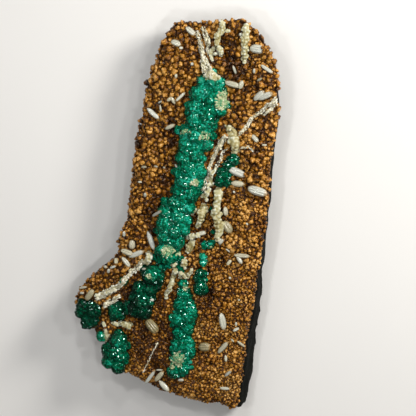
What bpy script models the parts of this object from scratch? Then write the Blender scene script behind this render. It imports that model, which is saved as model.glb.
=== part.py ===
"""Green apophyllite on a slab of basalt with a nodular chalcedony crust.

The slab lies on its flat broken back. +X is to the right across the crystal face, +Y runs up its long
side and +Z points out of the face. Everything is in metres.
"""

import math
import random

import bmesh
import bpy
import numpy as np
from mathutils import Vector, noise
from mathutils.geometry import delaunay_2d_cdt

# Driving dimensions
SLAB_LENGTH = 0.369
BASALT_THICKNESS = 0.0285
FIT_GAP = 0.0003
CRUST_RIM = 0.0032
SEAT_HEIGHT = 0.0040
VALLEY_HEIGHT = 0.0050
NODULE_RISE = 0.0042
OPEN_SWELL = 0.0022
NODULE_PITCH = 0.0083
EDGE_UNDERCUT = 0.0012
TOP_UNDERCUT = 0.0100
CRYSTAL_PITCH = 0.0058
BURIED = 0.0020
SEED = 7

# The slab's right side from its lower end up: place along Y, and how far the side is cut back at its foot.
# Below zero the foot stands out. The side shows as a dark strip that widens toward the lower end.
RIGHT_SIDE_START = 0.020
RIGHT_SIDE_CUTS = [
    (-0.186, 0.0012), (-0.178, 0.0), (-0.165, -0.0022), (-0.146, -0.0014), (-0.099, -0.0010),
    (-0.080, 0.0), (-0.066, 0.0006), (-0.052, 0.0016), (-0.028, 0.0020), (-0.010, 0.0042),
    (0.028, 0.0040), (0.047, 0.0030), (0.080, 0.0038), (0.100, 0.0080), (0.125, 0.0100),
]

# The slab is drawn on the photograph's grid, from a little right of its face and a little above it
VIEW_RIGHT = math.radians(13)
VIEW_ABOVE = math.radians(15)
GRID_LENGTH = 391
GRID_ORIGIN = (183.7, 202.1)

FACE = BASALT_THICKNESS + SEAT_HEIGHT
SEAT = FACE + FIT_GAP
METRES_PER_STEP = SLAB_LENGTH * math.cos(VIEW_ABOVE) / GRID_LENGTH

chance = random.Random(SEED)

CRUST_OUTLINE = [
    (176, 22), (187, 23), (199, 24), (210, 25), (222, 22), (235, 20), (247, 23), (256, 33), (264, 44),
    (270, 53), (274, 64), (278, 78), (277, 91), (278, 104), (277, 122), (273, 143), (271, 158), (270, 172),
    (269, 186), (269, 200), (267, 216), (265, 231), (262, 247), (260, 262), (257, 278), (255, 292),
    (253, 308), (250, 324), (247, 340), (244, 362), (242, 381), (239, 396), (239, 410), (228, 409),
    (218, 404), (207, 406), (195, 401), (184, 400), (172, 396), (158, 391), (147, 385), (137, 380),
    (127, 375), (114, 372), (106, 364), (102, 351), (104, 343), (97, 341), (96, 331), (84, 328),
    (77, 314), (73, 303), (76, 293), (83, 283), (92, 276), (102, 267), (112, 259), (120, 249), (116, 240),
    (122, 229), (128, 218), (130, 200), (131, 182), (134, 162), (136, 142), (139, 126), (144, 108),
    (145, 92), (149, 76), (155, 62), (159, 50), (166, 36),
]

# Crystal clusters by rows of (height on the grid, left edge, right edge), with the rise over their seat
MAIN_VEIN_ROWS = [
    (70, 210, 217), (76, 200, 217), (83, 198, 220), (90, 191, 227), (101, 189, 228), (111, 188, 227),
    (118, 185, 221), (126, 181, 214), (134, 177, 213), (143, 178, 211), (151, 175, 204), (161, 176, 203),
    (171, 175, 206), (181, 172, 206), (190, 172, 202), (198, 169, 197), (205, 161, 195), (214, 156, 190),
    (225, 155, 191), (235, 156, 187), (244, 158, 184), (251, 156, 181), (258, 154, 177), (267, 163, 177),
]
LOWER_CHAIN_ROWS = [
    (281, 180, 187), (288, 178, 189), (296, 178, 189), (303, 175, 192), (310, 171, 195), (318, 170, 195),
    (326, 172, 196), (332, 176, 189), (338, 176, 190), (345, 172, 193), (350, 171, 196), (355, 172, 192),
    (362, 171, 187), (371, 167, 187), (378, 170, 179),
]
LOWER_RIGHT_ROWS = [(270, 198, 206), (279, 194, 208), (288, 193, 208), (297, 197, 205)]
LEFT_MASS_ROWS = [
    (267, 147, 160), (273, 143, 164), (281, 142, 163), (288, 134, 161), (295, 130, 155), (303, 128, 152),
    (311, 129, 151), (319, 133, 147),
]
RIGHT_CLUSTER = [
    (234, 155), (238, 160), (236, 165), (229, 166), (226, 171), (226, 180), (222, 186), (215, 183),
    (219, 173), (222, 166), (226, 159),
]
FAR_LEFT_CLUSTER = [
    (76, 300), (84, 300), (91, 303), (98, 307), (100, 317), (95, 329), (84, 329), (80, 320), (74, 311),
]
FOOT_CLUSTER = [
    (119, 330), (110, 336), (106, 343), (101, 351), (101, 359), (107, 368), (116, 374), (124, 373),
    (128, 363), (128, 342), (125, 333),
]
# Round clusters by centre and half size on the grid
ROUND_CLUSTERS = {
    "apophyllite_left_knob": ((115, 312), (7, 9), 0.0065),
    "apophyllite_foot_bud": ((101, 337), (4, 5.5), 0.0035),
    "apophyllite_vein_bud": ((124, 281), (4.5, 3.2), 0.0030),
    "apophyllite_right_bud": ((209, 244.5), (5, 4), 0.0040),
    "apophyllite_right_oval": ((203, 260), (3.5, 6.5), 0.0045),
}

# Cream stalks and veins by name, grid points with widths, and height over width
STALKS = {
    "stalk_top_hook": (
        [(222, 19, 6), (223, 29, 6), (217, 36, 6), (217, 45, 6), (222, 52, 5), (222, 58, 4)],
        0.75,
    ),
    "stalk_top_right": ([(247, 23, 8), (246, 31, 9), (246, 40, 8), (245, 51, 5), (245, 64, 2)], 0.75),
    "strand_top_left": ([(197, 33, 3), (200, 41, 3.5), (202, 50, 3.5), (203, 58, 4.5), (206, 66, 7)], 0.6),
    "strand_top_middle": ([(203, 27, 3.5), (204, 36, 3), (208, 43, 3.5), (208, 53, 3)], 0.6),
    "vein_fork": ([(228, 127, 5), (235, 130, 7), (236, 140, 10), (236, 151, 6)], 0.5),
    "vein_thread": ([(225, 137, 6), (219, 146, 5), (214, 156, 4.5), (211, 166, 3.5)], 0.5),
    "vein_middle": ([(211, 179, 4), (208, 187, 6), (205, 196, 5)], 0.5),
    "stalk_tall": (
        [
            (218, 190, 8), (219, 197, 9), (217, 205, 10), (216, 213, 9), (218, 222, 9), (219, 231, 8),
            (217, 241, 6),
        ],
        0.8,
    ),
    "stalk_slanted": ([(204, 206, 8), (202, 215, 8), (198, 225, 7)], 0.7),
    "stalk_short": ([(190, 237, 5), (197, 235, 6), (205, 233, 4)], 0.6),
    "stalk_inner": ([(195, 242, 5), (190, 253, 6)], 0.7),
    "stalk_drop": ([(185, 258, 5), (185, 266, 6)], 0.7),
    "stalk_lower": ([(175, 276, 6), (171, 286, 6), (166, 298, 4)], 0.7),
    "stalk_ring": ([(180, 276, 3), (186, 272, 4), (192, 275, 3)], 0.6),
    "stalk_knob": ([(149, 253, 7), (148, 261, 6)], 0.7),
    "vein_left_upper": ([(142, 263, 4), (137, 270, 4), (131, 273, 3)], 0.5),
    "vein_left_lower": ([(119, 288, 4), (110, 292, 6), (101, 295, 7)], 0.5),
    "vein_star": ([(121, 325, 6), (127, 324, 8), (132, 323, 5)], 0.4),
    "vein_right": (
        [(277, 99, 6), (273, 104, 6), (267, 106, 3.5), (257, 114, 3), (250, 121, 3), (244, 129, 3)],
        0.5,
    ),
}

# Stilbite blades by both ends and width on the grid; two blades that cross grew together
BLADES = [
    [((186, 27), (195, 35), 5)],
    [((171, 41), (181, 45), 5.5)],
    [((147, 108), (159, 119), 4.5)],
    [((165, 128), (175, 125), 4)],
    [((225, 82), (240, 86), 5.5), ((243, 80), (239, 89), 4.5)],
    [((254, 100), (264, 91), 5.5), ((257, 99), (272, 93), 5.5)],
    [((261, 65), (272, 72), 3.5)],
    [((250, 48), (264, 50), 8)],
    [((252, 135), (258, 142), 4)],
    [((229, 169), (246, 176), 6)],
    [((231, 184), (244, 184), 6)],
    [((248, 188), (266, 194), 8)],
    [((224, 221), (231, 233), 7)],
    [((147, 231), (154, 250), 5)],
    [((121, 250), (133, 255), 5.5), ((128, 257), (144, 251), 5)],
    [((132, 239), (132, 249), 5.5)],
    [((121, 256), (129, 266), 4.5)],
    [((93, 288), (88, 297), 5)],
    [((234, 255), (250, 256), 4), ((236, 254), (242, 264), 3.5)],
    [((221, 313), (224, 330), 6.5)],
    [((218, 353), (228, 342), 4.5)],
    [((199, 347), (210, 347), 8)],
    [((148, 321), (157, 332), 8)],
    [((145, 383), (155, 371), 3.5)],
    [((155, 380), (164, 371), 4.5)],
    [((160, 382), (169, 391), 5)],
    [((219, 388), (230, 389), 4)],
]


def on_slab(across, down, height=FACE):
    """A grid point, seen at an angle, as a place on the slab at this height."""
    seen_x = (across - GRID_ORIGIN[0]) * METRES_PER_STEP
    seen_y = (GRID_ORIGIN[1] - down) * METRES_PER_STEP
    x_of_right, z_of_right = side_axis()
    x = (seen_x + z_of_right * height) / x_of_right
    tilt = math.sin(VIEW_RIGHT) * math.tan(VIEW_ABOVE)
    lift = math.cos(VIEW_RIGHT) * math.tan(VIEW_ABOVE)
    y = seen_y / math.cos(VIEW_ABOVE) + tilt * x + lift * height
    return Vector((x, y))


def side_axis():
    """How far a metre along X and a metre along Z reach to the right in the view."""
    toward = Vector((math.sin(VIEW_RIGHT) * math.cos(VIEW_ABOVE), math.sin(VIEW_ABOVE)))
    toward_z = math.cos(VIEW_RIGHT) * math.cos(VIEW_ABOVE)
    length = math.hypot(toward.x, toward_z)
    return toward_z / length, toward.x / length


def clear_scene():
    for thing in list(bpy.data.objects):
        bpy.data.objects.remove(thing)


def make_material(name, colour, roughness):
    material = bpy.data.materials.new(name)
    material.use_nodes = True
    shader = material.node_tree.nodes["Principled BSDF"]
    shader.inputs["Base Color"].default_value = (*colour, 1.0)
    shader.inputs["Roughness"].default_value = roughness
    shader.inputs["Metallic"].default_value = 0.0
    return material


def add_object(name, mesh_builder, material):
    mesh = bpy.data.meshes.new(name)
    bmesh.ops.recalc_face_normals(mesh_builder, faces=mesh_builder.faces)
    mesh_builder.to_mesh(mesh)
    mesh_builder.free()
    mesh.materials.append(material)
    made = bpy.data.objects.new(name, mesh)
    bpy.context.collection.objects.link(made)
    return made


def area(loop):
    pairs = zip(loop, loop[1:] + loop[:1])
    return sum(a.x * b.y - b.x * a.y for a, b in pairs) / 2


def counterclockwise(loop):
    return loop if area(loop) > 0 else loop[::-1]


def inside(point, loop):
    hit = False
    for a, b in zip(loop, loop[1:] + loop[:1]):
        if (a.y > point.y) != (b.y > point.y):
            if point.x < a.x + (b.x - a.x) * (point.y - a.y) / (b.y - a.y):
                hit = not hit
    return hit


def distance_to(point, loop):
    nearest = math.inf
    for a, b in zip(loop, loop[1:] + loop[:1]):
        along = b - a
        share = max(0.0, min(1.0, (point - a).dot(along) / along.length_squared))
        nearest = min(nearest, (point - a - along * share).length)
    return nearest


def grown(loop, amount):
    """The loop moved outwards by amount at each corner; amount may be a function of the corner."""
    loop = counterclockwise(loop)
    moved = []
    for before, here, after in zip(loop[-1:] + loop[:-1], loop, loop[1:] + loop[:1]):
        along = (after - before).normalized()
        reach = amount(here) if callable(amount) else amount
        moved.append(here + Vector((along.y, -along.x)) * reach)
    return moved


def resampled(loop, step):
    """The loop with extra corners so that no side is longer than step."""
    fine = []
    for a, b in zip(loop, loop[1:] + loop[:1]):
        count = max(1, round((b - a).length / step))
        fine += [a.lerp(b, i / count) for i in range(count)]
    return fine


def spread_points(loop, keep_off, pitch, margin):
    """Points at least pitch apart inside the loop, clear of its edge and of the loops in keep_off."""
    low = Vector((min(p.x for p in loop), min(p.y for p in loop)))
    high = Vector((max(p.x for p in loop), max(p.y for p in loop)))
    columns = int((high.x - low.x) / pitch) + 1
    tries = columns * (int((high.y - low.y) / pitch) + 1) * 30
    cells = {}
    points = []
    for _ in range(tries):
        point = Vector((chance.uniform(low.x, high.x), chance.uniform(low.y, high.y)))
        key = (int((point.x - low.x) / pitch), int((point.y - low.y) / pitch))
        near = [q for i in (-1, 0, 1) for j in (-1, 0, 1) for q in cells.get((key[0] + i, key[1] + j), ())]
        if any((point - q).length < pitch for q in near):
            continue
        if not inside(point, loop) or distance_to(point, loop) < margin:
            continue
        if any(inside(point, other) or distance_to(point, other) < margin for other in keep_off):
            continue
        cells.setdefault(key, []).append(point)
        points.append(point)
    return points


def triangulated(points, loops):
    """Triangles through the points with every loop's sides kept as edges, inside the first loop."""
    corners = list(points)
    edges = []
    for loop in loops:
        start = len(corners)
        corners += loop
        edges += [(start + i, start + (i + 1) % len(loop)) for i in range(len(loop))]
    places, _, faces, origins, _, _ = delaunay_2d_cdt(corners, edges, [], 0, 2e-5)
    kept = []
    for face in faces:
        middle = sum((places[i] for i in face), Vector((0, 0))) / 3
        if inside(middle, loops[0]):
            kept.append(face)
    return places, kept, origins


def knobbly_body(loop, seats, peaks, base, height_at):
    """A closed body: a field of peaks with valleys between, sides, and a flat underside at base."""
    places, faces, _ = triangulated(peaks, [loop] + seats)
    edge_room = 0.0009
    valleys = []
    for face in faces:
        middle = sum((places[i] for i in face), Vector((0, 0))) / 3
        if any(inside(middle, seat) for seat in seats):
            continue
        if min(distance_to(middle, one) for one in [loop] + seats) > edge_room:
            valleys.append(middle)
    places, faces, origins = triangulated(peaks + valleys, [loop] + seats)
    builder = bmesh.new()
    used = sorted({i for face in faces for i in face})
    top = {}
    for i in used:
        is_peak = any(k < len(peaks) for k in origins[i])
        top[i] = builder.verts.new((*places[i], height_at(places[i], is_peak)))
    for face in faces:
        builder.faces.new([top[i] for i in face])
    rim = [edge for edge in builder.edges if len(edge.link_faces) == 1]
    lower = {}
    for vert in {v for edge in rim for v in edge.verts}:
        lower[vert] = builder.verts.new((vert.co.x, vert.co.y, base))
    following = {}
    for edge in rim:
        a, b = edge.verts
        face = edge.link_faces[0]
        order = [loop_part.vert for loop_part in face.loops]
        if order[(order.index(a) + 1) % len(order)] != b:
            a, b = b, a
        following[a] = b
        builder.faces.new((b, a, lower[a], lower[b]))
    start = next(iter(following))
    underside = [start]
    while following[underside[-1]] != start:
        underside.append(following[underside[-1]])
    builder.faces.new([lower[v] for v in reversed(underside)])
    return builder


def make_basalt(outline, material):
    """The dark slab: straight-topped under the crust, rough and undercut sides, flat broken back."""
    low = min(p.y for p in outline)

    def undercut(point):
        share = min(1.0, (point.y - low) / (0.72 * SLAB_LENGTH))
        cut = EDGE_UNDERCUT + (TOP_UNDERCUT - EDGE_UNDERCUT) * share
        right_cut = float(np.interp(point.y, *zip(*RIGHT_SIDE_CUTS)))
        beside = min(1.0, max(0.0, (point.x - RIGHT_SIDE_START) / 0.020))
        return -(cut + (right_cut - cut) * beside)

    levels = [
        (BASALT_THICKNESS, 0.08, 0.0),
        (BASALT_THICKNESS * 0.80, 0.12, 0.0012),
        (BASALT_THICKNESS * 0.48, 0.55, 0.0016),
        (BASALT_THICKNESS * 0.16, 0.90, 0.0012),
        (0.0, 1.25, 0.0004),
    ]
    builder = bmesh.new()
    rings = []
    for height, share, roughness in levels:
        ring = []
        for point in grown(outline, lambda p, s=share: undercut(p) * s - 0.0006):
            bump = Vector((chance.uniform(-1, 1), chance.uniform(-1, 1))) * roughness
            ring.append(builder.verts.new((*(point + bump), height)))
        rings.append(ring)
    for upper, below in zip(rings, rings[1:]):
        for i in range(len(upper)):
            j = (i + 1) % len(upper)
            builder.faces.new((upper[i], upper[j], below[j], below[i]))
    builder.faces.new(rings[0])
    builder.faces.new(rings[-1][::-1])
    return add_object("basalt_matrix", builder, material)


def make_crust(outline, seats, material):
    """The brown crust: round nodules grown side by side, with a flat seat under each other piece."""
    peaks = spread_points(outline, seats, NODULE_PITCH, 0.0030)

    def height_at(point, is_peak):
        to_seat = min(distance_to(point, seat) for seat in seats)
        if to_seat < 1e-5 or any(inside(point, seat) for seat in seats):
            return FACE
        edge = distance_to(point, outline)
        if edge < 1e-5:
            return BASALT_THICKNESS + CRUST_RIM
        roll = min(1.0, edge / 0.010)
        swell = 0.5 + 0.5 * noise.noise(Vector((point.x * 34, point.y * 34, 0.3)))
        open_share = min(1.0, to_seat / 0.022) * roll
        valley = BASALT_THICKNESS + VALLEY_HEIGHT - 0.0012 * (1 - roll) + OPEN_SWELL * open_share
        if not is_peak:
            return valley + 0.0008 * swell
        return valley + NODULE_RISE * (0.55 + 0.25 * roll + 0.5 * swell + chance.uniform(-0.15, 0.15))

    builder = knobbly_body(outline, seats, peaks, BASALT_THICKNESS + FIT_GAP, height_at)
    return add_object("chalcedony_crust", builder, material)


def make_cluster(name, loop, rise, material):
    """A mound of green crystals: pointed pyramids of flat faces, side by side."""
    size = max(distance_to(p, loop) for p in spread_points(loop, [], 0.002, 0.0003))
    pitch = min(CRYSTAL_PITCH, size * 0.95)
    fine_loop = resampled(loop, pitch * 0.9)
    peaks = spread_points(loop, [], pitch, pitch * 0.34)
    wall = min(0.0022, rise * 0.4)

    def height_at(point, is_peak):
        share = min(1.0, distance_to(point, loop) / (size * 0.85))
        dome = math.sqrt(1 - (1 - share) ** 2)
        lumps = 0.78 + 0.34 * noise.noise(Vector((point.x * 75, point.y * 75, rise * 300)))
        height = SEAT + wall + (rise - wall) * dome * lumps
        if is_peak:
            height += pitch * chance.uniform(0.36, 0.66)
        return height

    builder = knobbly_body(fine_loop, [], peaks, SEAT, height_at)
    return add_object(name, builder, material)


def cross_section(width, height, lean):
    """Five points over a flat base, as distance across and height."""
    return [
        (-0.50 * width, 0.0),
        (-0.44 * width, 0.56 * height),
        (lean * width, height),
        (0.44 * width, 0.56 * height),
        (0.50 * width, 0.0),
    ]


def make_loft(name, stations, base, material):
    """A closed body with a flat base through stations of (place, width, height, lean)."""
    builder = bmesh.new()
    rings = []
    for i, (place, width, height, lean) in enumerate(stations):
        before = stations[max(i - 1, 0)][0]
        after = stations[min(i + 1, len(stations) - 1)][0]
        along = (after - before).normalized()
        side = Vector((-along.y, along.x))
        ring = []
        for across, up in cross_section(width, height, lean):
            ring.append(builder.verts.new((*(place + side * across), base + up)))
        rings.append(ring)
    for here, after in zip(rings, rings[1:]):
        for i in range(5):
            j = (i + 1) % 5
            builder.faces.new((here[i], here[j], after[j], after[i]))
    builder.faces.new(rings[0][::-1])
    builder.faces.new(rings[-1])
    return add_object(name, builder, material)


def footprint(stations):
    """The outline of a loft's base."""
    left, right = [], []
    for i, (place, width, _, _) in enumerate(stations):
        before = stations[max(i - 1, 0)][0]
        after = stations[min(i + 1, len(stations) - 1)][0]
        along = (after - before).normalized()
        side = Vector((-along.y, along.x)) * width * 0.5
        left.append(place + side)
        right.append(place - side)
    return counterclockwise(left + right[::-1])


def stalk_stations(points, height_share):
    """A knobbly stalk: its width swells and shrinks from one station to the next."""
    stations = []
    last = len(points) - 1
    for i, (across, down, width) in enumerate(points):
        place = on_slab(across, down, SEAT)
        full = width * METRES_PER_STEP
        if i in (0, last):
            stations.append((place, full * 0.55, BURIED + full * height_share * 0.5, 0.0))
            continue
        height = BURIED + full * height_share * chance.uniform(0.85, 1.15)
        stations.append((place, full, height, chance.uniform(-0.12, 0.12)))
    if last == 1:
        middle = stations[0][0].lerp(stations[1][0], 0.5)
        full = max(points[0][2], points[1][2]) * METRES_PER_STEP
        stations.insert(1, (middle, full, BURIED + full * height_share, 0.05))
    return stations


def blade_stations(start, end, width):
    """A stilbite blade: thick in the middle, pointed at both ends and higher at its free end."""
    a = on_slab(*start, SEAT)
    b = on_slab(*end, SEAT)
    full = width * METRES_PER_STEP
    shape = [(0.0, 0.30, 0.25), (0.27, 0.95, 0.62), (0.72, 0.90, 0.74), (1.0, 0.28, 0.42)]
    lean = chance.choice((-0.16, 0.16))
    return [(a.lerp(b, t), full * w, BURIED + full * h, lean) for t, w, h in shape]


def rows_loop(rows, rise):
    """The outline of a cluster from its rows, read at half its height."""
    height = SEAT + rise * 0.5
    left = [on_slab(x, y, height) for y, x, _ in rows]
    right = [on_slab(x, y, height) for y, _, x in rows]
    return counterclockwise(left + right[::-1])


def points_loop(points, rise):
    return counterclockwise([on_slab(x, y, SEAT + rise * 0.5) for x, y in points])


def round_loop(centre, half, rise):
    sides = 12 if min(half) > 5 else 8
    turns = [2 * math.pi * i / sides for i in range(sides)]
    return points_loop(
        [(centre[0] + half[0] * math.cos(t), centre[1] + half[1] * math.sin(t)) for t in turns], rise
    )


def cluster_outlines():
    """Each cluster's outline and rise by name."""
    clusters = {
        "apophyllite_main_vein": (rows_loop(MAIN_VEIN_ROWS, 0.0120), 0.0120),
        "apophyllite_lower_chain": (rows_loop(LOWER_CHAIN_ROWS, 0.0070), 0.0070),
        "apophyllite_lower_right": (rows_loop(LOWER_RIGHT_ROWS, 0.0060), 0.0060),
        "apophyllite_left_mass": (rows_loop(LEFT_MASS_ROWS, 0.0105), 0.0105),
        "apophyllite_right_cluster": (points_loop(RIGHT_CLUSTER, 0.0065), 0.0065),
        "apophyllite_far_left": (points_loop(FAR_LEFT_CLUSTER, 0.0080), 0.0080),
        "apophyllite_foot": (points_loop(FOOT_CLUSTER, 0.0090), 0.0090),
    }
    for name, (centre, half, rise) in ROUND_CLUSTERS.items():
        clusters[name] = (round_loop(centre, half, rise), rise)
    return clusters


def fuse(first, second):
    """Joins two blades that grew through each other."""
    union = first.modifiers.new("grown_together", "BOOLEAN")
    union.operation = "UNION"
    union.object = second
    second.hide_render = True
    second.display_type = "WIRE"


def main():
    clear_scene()
    basalt = make_material("dark_basalt", (0.012, 0.013, 0.012), 0.85)
    chalcedony = make_material("brown_chalcedony", (0.30, 0.125, 0.035), 0.55)
    green = make_material("green_apophyllite", (0.0, 0.22, 0.12), 0.12)
    cream = make_material("cream_stilbite", (0.68, 0.62, 0.48), 0.45)

    outline = counterclockwise([on_slab(x, y) for x, y in CRUST_OUTLINE])
    clusters = cluster_outlines()
    stalks = {name: stalk_stations(points, share) for name, (points, share) in STALKS.items()}
    blades = [[blade_stations(*blade) for blade in group] for group in BLADES]

    seats = [grown(loop, 0.0007) for loop, _ in clusters.values()]
    seats += [grown(footprint(stations), 0.0006) for stations in stalks.values()]
    seats += [grown(footprint(stations), 0.0006) for group in blades for stations in group]

    make_basalt(outline, basalt)
    make_crust(outline, seats, chalcedony)
    for name, (loop, rise) in clusters.items():
        make_cluster(name, loop, rise, green)
    for name, stations in stalks.items():
        make_loft(name, stations, SEAT, cream)
    for number, group in enumerate(blades, start=1):
        name = f"stilbite_blade_{number:02d}"
        first = make_loft(name, group[0], SEAT, cream)
        for stations in group[1:]:
            fuse(first, make_loft(name + "_partner", stations, SEAT + 0.00005, cream))


main()
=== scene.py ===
# %% [markdown]
# # Green apophyllite on a slab of basalt
#
# The real object is a broken slab of dark basalt, as long as a forearm. A brown crust of round
# chalcedony nodules covers its front, green apophyllite crystals fill a vein down the middle, and pale
# stilbite blades and cream stalks are scattered between them.
# The solids of the frame give every piece its size and place. This script dresses them: thousands of
# small nodules and crystals are modelled once each, copied over the solids' surfaces and joined.

# %% Load the frame
import math
import random

import bpy
import numpy as np
from mathutils import Matrix, Vector, noise
from mathutils.bvhtree import BVHTree


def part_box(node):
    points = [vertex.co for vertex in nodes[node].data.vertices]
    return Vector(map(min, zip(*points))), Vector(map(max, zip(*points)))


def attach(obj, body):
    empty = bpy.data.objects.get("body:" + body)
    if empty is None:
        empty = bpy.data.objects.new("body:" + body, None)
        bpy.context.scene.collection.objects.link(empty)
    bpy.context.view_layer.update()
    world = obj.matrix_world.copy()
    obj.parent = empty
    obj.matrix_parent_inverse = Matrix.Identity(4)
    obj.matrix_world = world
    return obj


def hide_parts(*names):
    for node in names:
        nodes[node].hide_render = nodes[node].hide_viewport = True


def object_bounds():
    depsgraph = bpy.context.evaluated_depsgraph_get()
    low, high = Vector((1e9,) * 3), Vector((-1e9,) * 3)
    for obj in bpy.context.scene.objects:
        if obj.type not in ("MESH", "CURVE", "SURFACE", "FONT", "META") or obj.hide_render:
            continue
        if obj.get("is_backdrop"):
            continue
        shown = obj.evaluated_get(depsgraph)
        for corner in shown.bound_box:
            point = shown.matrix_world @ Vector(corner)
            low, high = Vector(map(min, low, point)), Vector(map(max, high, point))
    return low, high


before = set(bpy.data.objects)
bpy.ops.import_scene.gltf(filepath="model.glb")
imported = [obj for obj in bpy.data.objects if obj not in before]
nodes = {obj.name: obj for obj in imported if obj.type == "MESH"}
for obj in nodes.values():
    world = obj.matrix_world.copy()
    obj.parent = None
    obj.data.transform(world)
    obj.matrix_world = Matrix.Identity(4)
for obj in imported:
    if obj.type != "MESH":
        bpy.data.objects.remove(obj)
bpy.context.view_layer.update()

# %% [markdown]
# ## Camera
#
# The slab lies on its back, so the camera looks down on it, from a little to the right of the face's
# normal and a little above it, as the photograph does. A very long lens keeps the view almost parallel,
# so one pixel measures the same all over the face. The same values turn a pixel into a line of sight,
# which later places blades and stalks where the photograph shows them.

# %% Camera and lines of sight
VIEW_RIGHT = math.radians(13)
VIEW_ABOVE = math.radians(15)
PIXEL = 0.00091157
IMAGE = 416
ORIGIN_PIXEL = (183.7, 202.1)
SEAT = 0.0328
LENS = 600
SENSOR = 36
CLIP_END = 100

toward = Vector((math.sin(VIEW_RIGHT) * math.cos(VIEW_ABOVE), math.sin(VIEW_ABOVE), 0))
toward.z = math.cos(VIEW_RIGHT) * math.cos(VIEW_ABOVE)
right = Vector((toward.z, 0, -toward.x)).normalized()
above = toward.cross(right)
middle = right * (IMAGE / 2 - ORIGIN_PIXEL[0]) * PIXEL + above * (ORIGIN_PIXEL[1] - IMAGE / 2) * PIXEL
middle += toward * SEAT * toward.z

camera_data = bpy.data.cameras.new("camera")
camera_data.lens = LENS
camera_data.sensor_width = SENSOR
camera_data.clip_end = CLIP_END
camera = bpy.data.objects.new("camera", camera_data)
bpy.context.collection.objects.link(camera)
camera_turn = Matrix((right, above, toward)).transposed().to_4x4()
camera.matrix_world = Matrix.Translation(middle + toward * IMAGE * PIXEL * LENS / SENSOR) @ camera_turn
bpy.context.scene.camera = camera
eye = camera.matrix_world.translation.copy()


def sight(across, down):
    """The direction from the camera through a pixel."""
    through = middle + right * (across - IMAGE / 2) * PIXEL + above * (IMAGE / 2 - down) * PIXEL
    return (through - eye).normalized()


def at_height(across, down, height):
    """The place at this height that a pixel shows."""
    way = sight(across, down)
    return eye + way * (height - eye.z) / way.z


def pixel_of(place):
    """The pixel, across and down, that shows a place."""
    way = place - eye
    way *= (middle - eye).length / -way.dot(toward)
    return IMAGE / 2 + way.dot(right) / PIXEL, IMAGE / 2 - way.dot(above) / PIXEL


print("camera at", [round(v, 3) for v in eye])

# %% [markdown]
# ## Working by operators
#
# Blender's operators act on what is selected and active, in the mode that is on. These helpers set all
# three, so that an operator never touches anything but the one thing it is meant for.

# %% Select and edit
def start():
    """Leaves edit mode and deselects everything."""
    if bpy.context.object and bpy.context.object.mode != "OBJECT":
        leave_edit()
    bpy.ops.object.select_all(action="DESELECT")


def take(thing):
    """Makes one object the selected and active one."""
    start()
    thing.select_set(True)
    bpy.context.view_layer.objects.active = thing


def edit_all():
    """Enters edit mode with the whole mesh selected."""
    bpy.ops.object.mode_set(mode="EDIT")
    bpy.ops.mesh.select_all(action="SELECT")


def leave_edit():
    bpy.ops.object.mode_set(mode="OBJECT")


# %% [markdown]
# ## Light
#
# Soft lights, so that nothing competes with the stone. The key light comes from the upper right in
# front, as the shadows beside the green vein show, and five small ones make the crystals sparkle.

# %% Lights and world
KEY_PLACE = toward * 0.90 + right * 0.75 + above * 0.50
KEY_SIZE = 0.34
KEY_ENERGY = 17.5
KEY_COLOUR = (1, 0.97, 0.92)
FILL_PLACE = toward * 0.9 - right * 0.8 + above * 0.4
FILL_SIZE = 0.9
FILL_ENERGY = 2.6
FILL_COLOUR = (1, 0.98, 0.95)
GLINT_PLACES = [(-0.35, 0.30), (0.10, -0.25), (-0.10, 0.55), (0.38, 0.05), (-0.50, -0.20)]
GLINT_REACH = 1.1
GLINT_SIZE = 0.09
GLINT_ENERGY = 1.6
GLINT_COLOUR = (1, 1, 1)
WORLD_STRENGTH = 0.13


def add_light(name, place, size, energy, colour):
    data = bpy.data.lights.new(name, "AREA")
    data.size = size
    data.energy = energy
    data.color = colour
    light = bpy.data.objects.new(name, data)
    bpy.context.collection.objects.link(light)
    light.location = place
    light.rotation_euler = (middle - place).to_track_quat("-Z", "Y").to_euler()
    light.visible_camera = False


add_light("key_light", middle + KEY_PLACE, KEY_SIZE, KEY_ENERGY, KEY_COLOUR)
for number, (aside, up) in enumerate(GLINT_PLACES):
    place = middle + toward * GLINT_REACH + right * aside + above * up
    add_light(f"glint_light_{number}", place, GLINT_SIZE, GLINT_ENERGY, GLINT_COLOUR)
add_light("fill_light", middle + FILL_PLACE, FILL_SIZE, FILL_ENERGY, FILL_COLOUR)

world = bpy.data.worlds.new("studio")
world.use_nodes = True
background = world.node_tree.nodes["Background"].inputs
background["Color"].default_value = (*FILL_COLOUR, 1)
background["Strength"].default_value = WORLD_STRENGTH
bpy.context.scene.world = world
bpy.context.scene.view_settings.view_transform = "Standard"
print(len(bpy.data.lights), "lights")

# %% [markdown]
# ## Finishes in Python
#
# A material is a small graph of nodes. Writing its maths as Python expressions keeps it readable: a
# Reading wraps one socket, and adding or multiplying two readings adds the Math node that does it.

# %% A finish and its readings
class Reading:
    """One socket, on which Python arithmetic adds Math nodes."""

    def __init__(self, finish, socket):
        self.finish = finish
        self.socket = socket

    def maths(self, operation, first, second):
        return self.finish.node("ShaderNodeMath", {"operation": operation}, {0: first, 1: second})

    def __add__(self, other):
        return self.maths("ADD", self, other)

    def __mul__(self, other):
        return self.maths("MULTIPLY", self, other)

    def __sub__(self, other):
        return self.maths("SUBTRACT", self, other)

    def clamped(self):
        return self.finish.node("ShaderNodeClamp", {}, {0: self})


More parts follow.
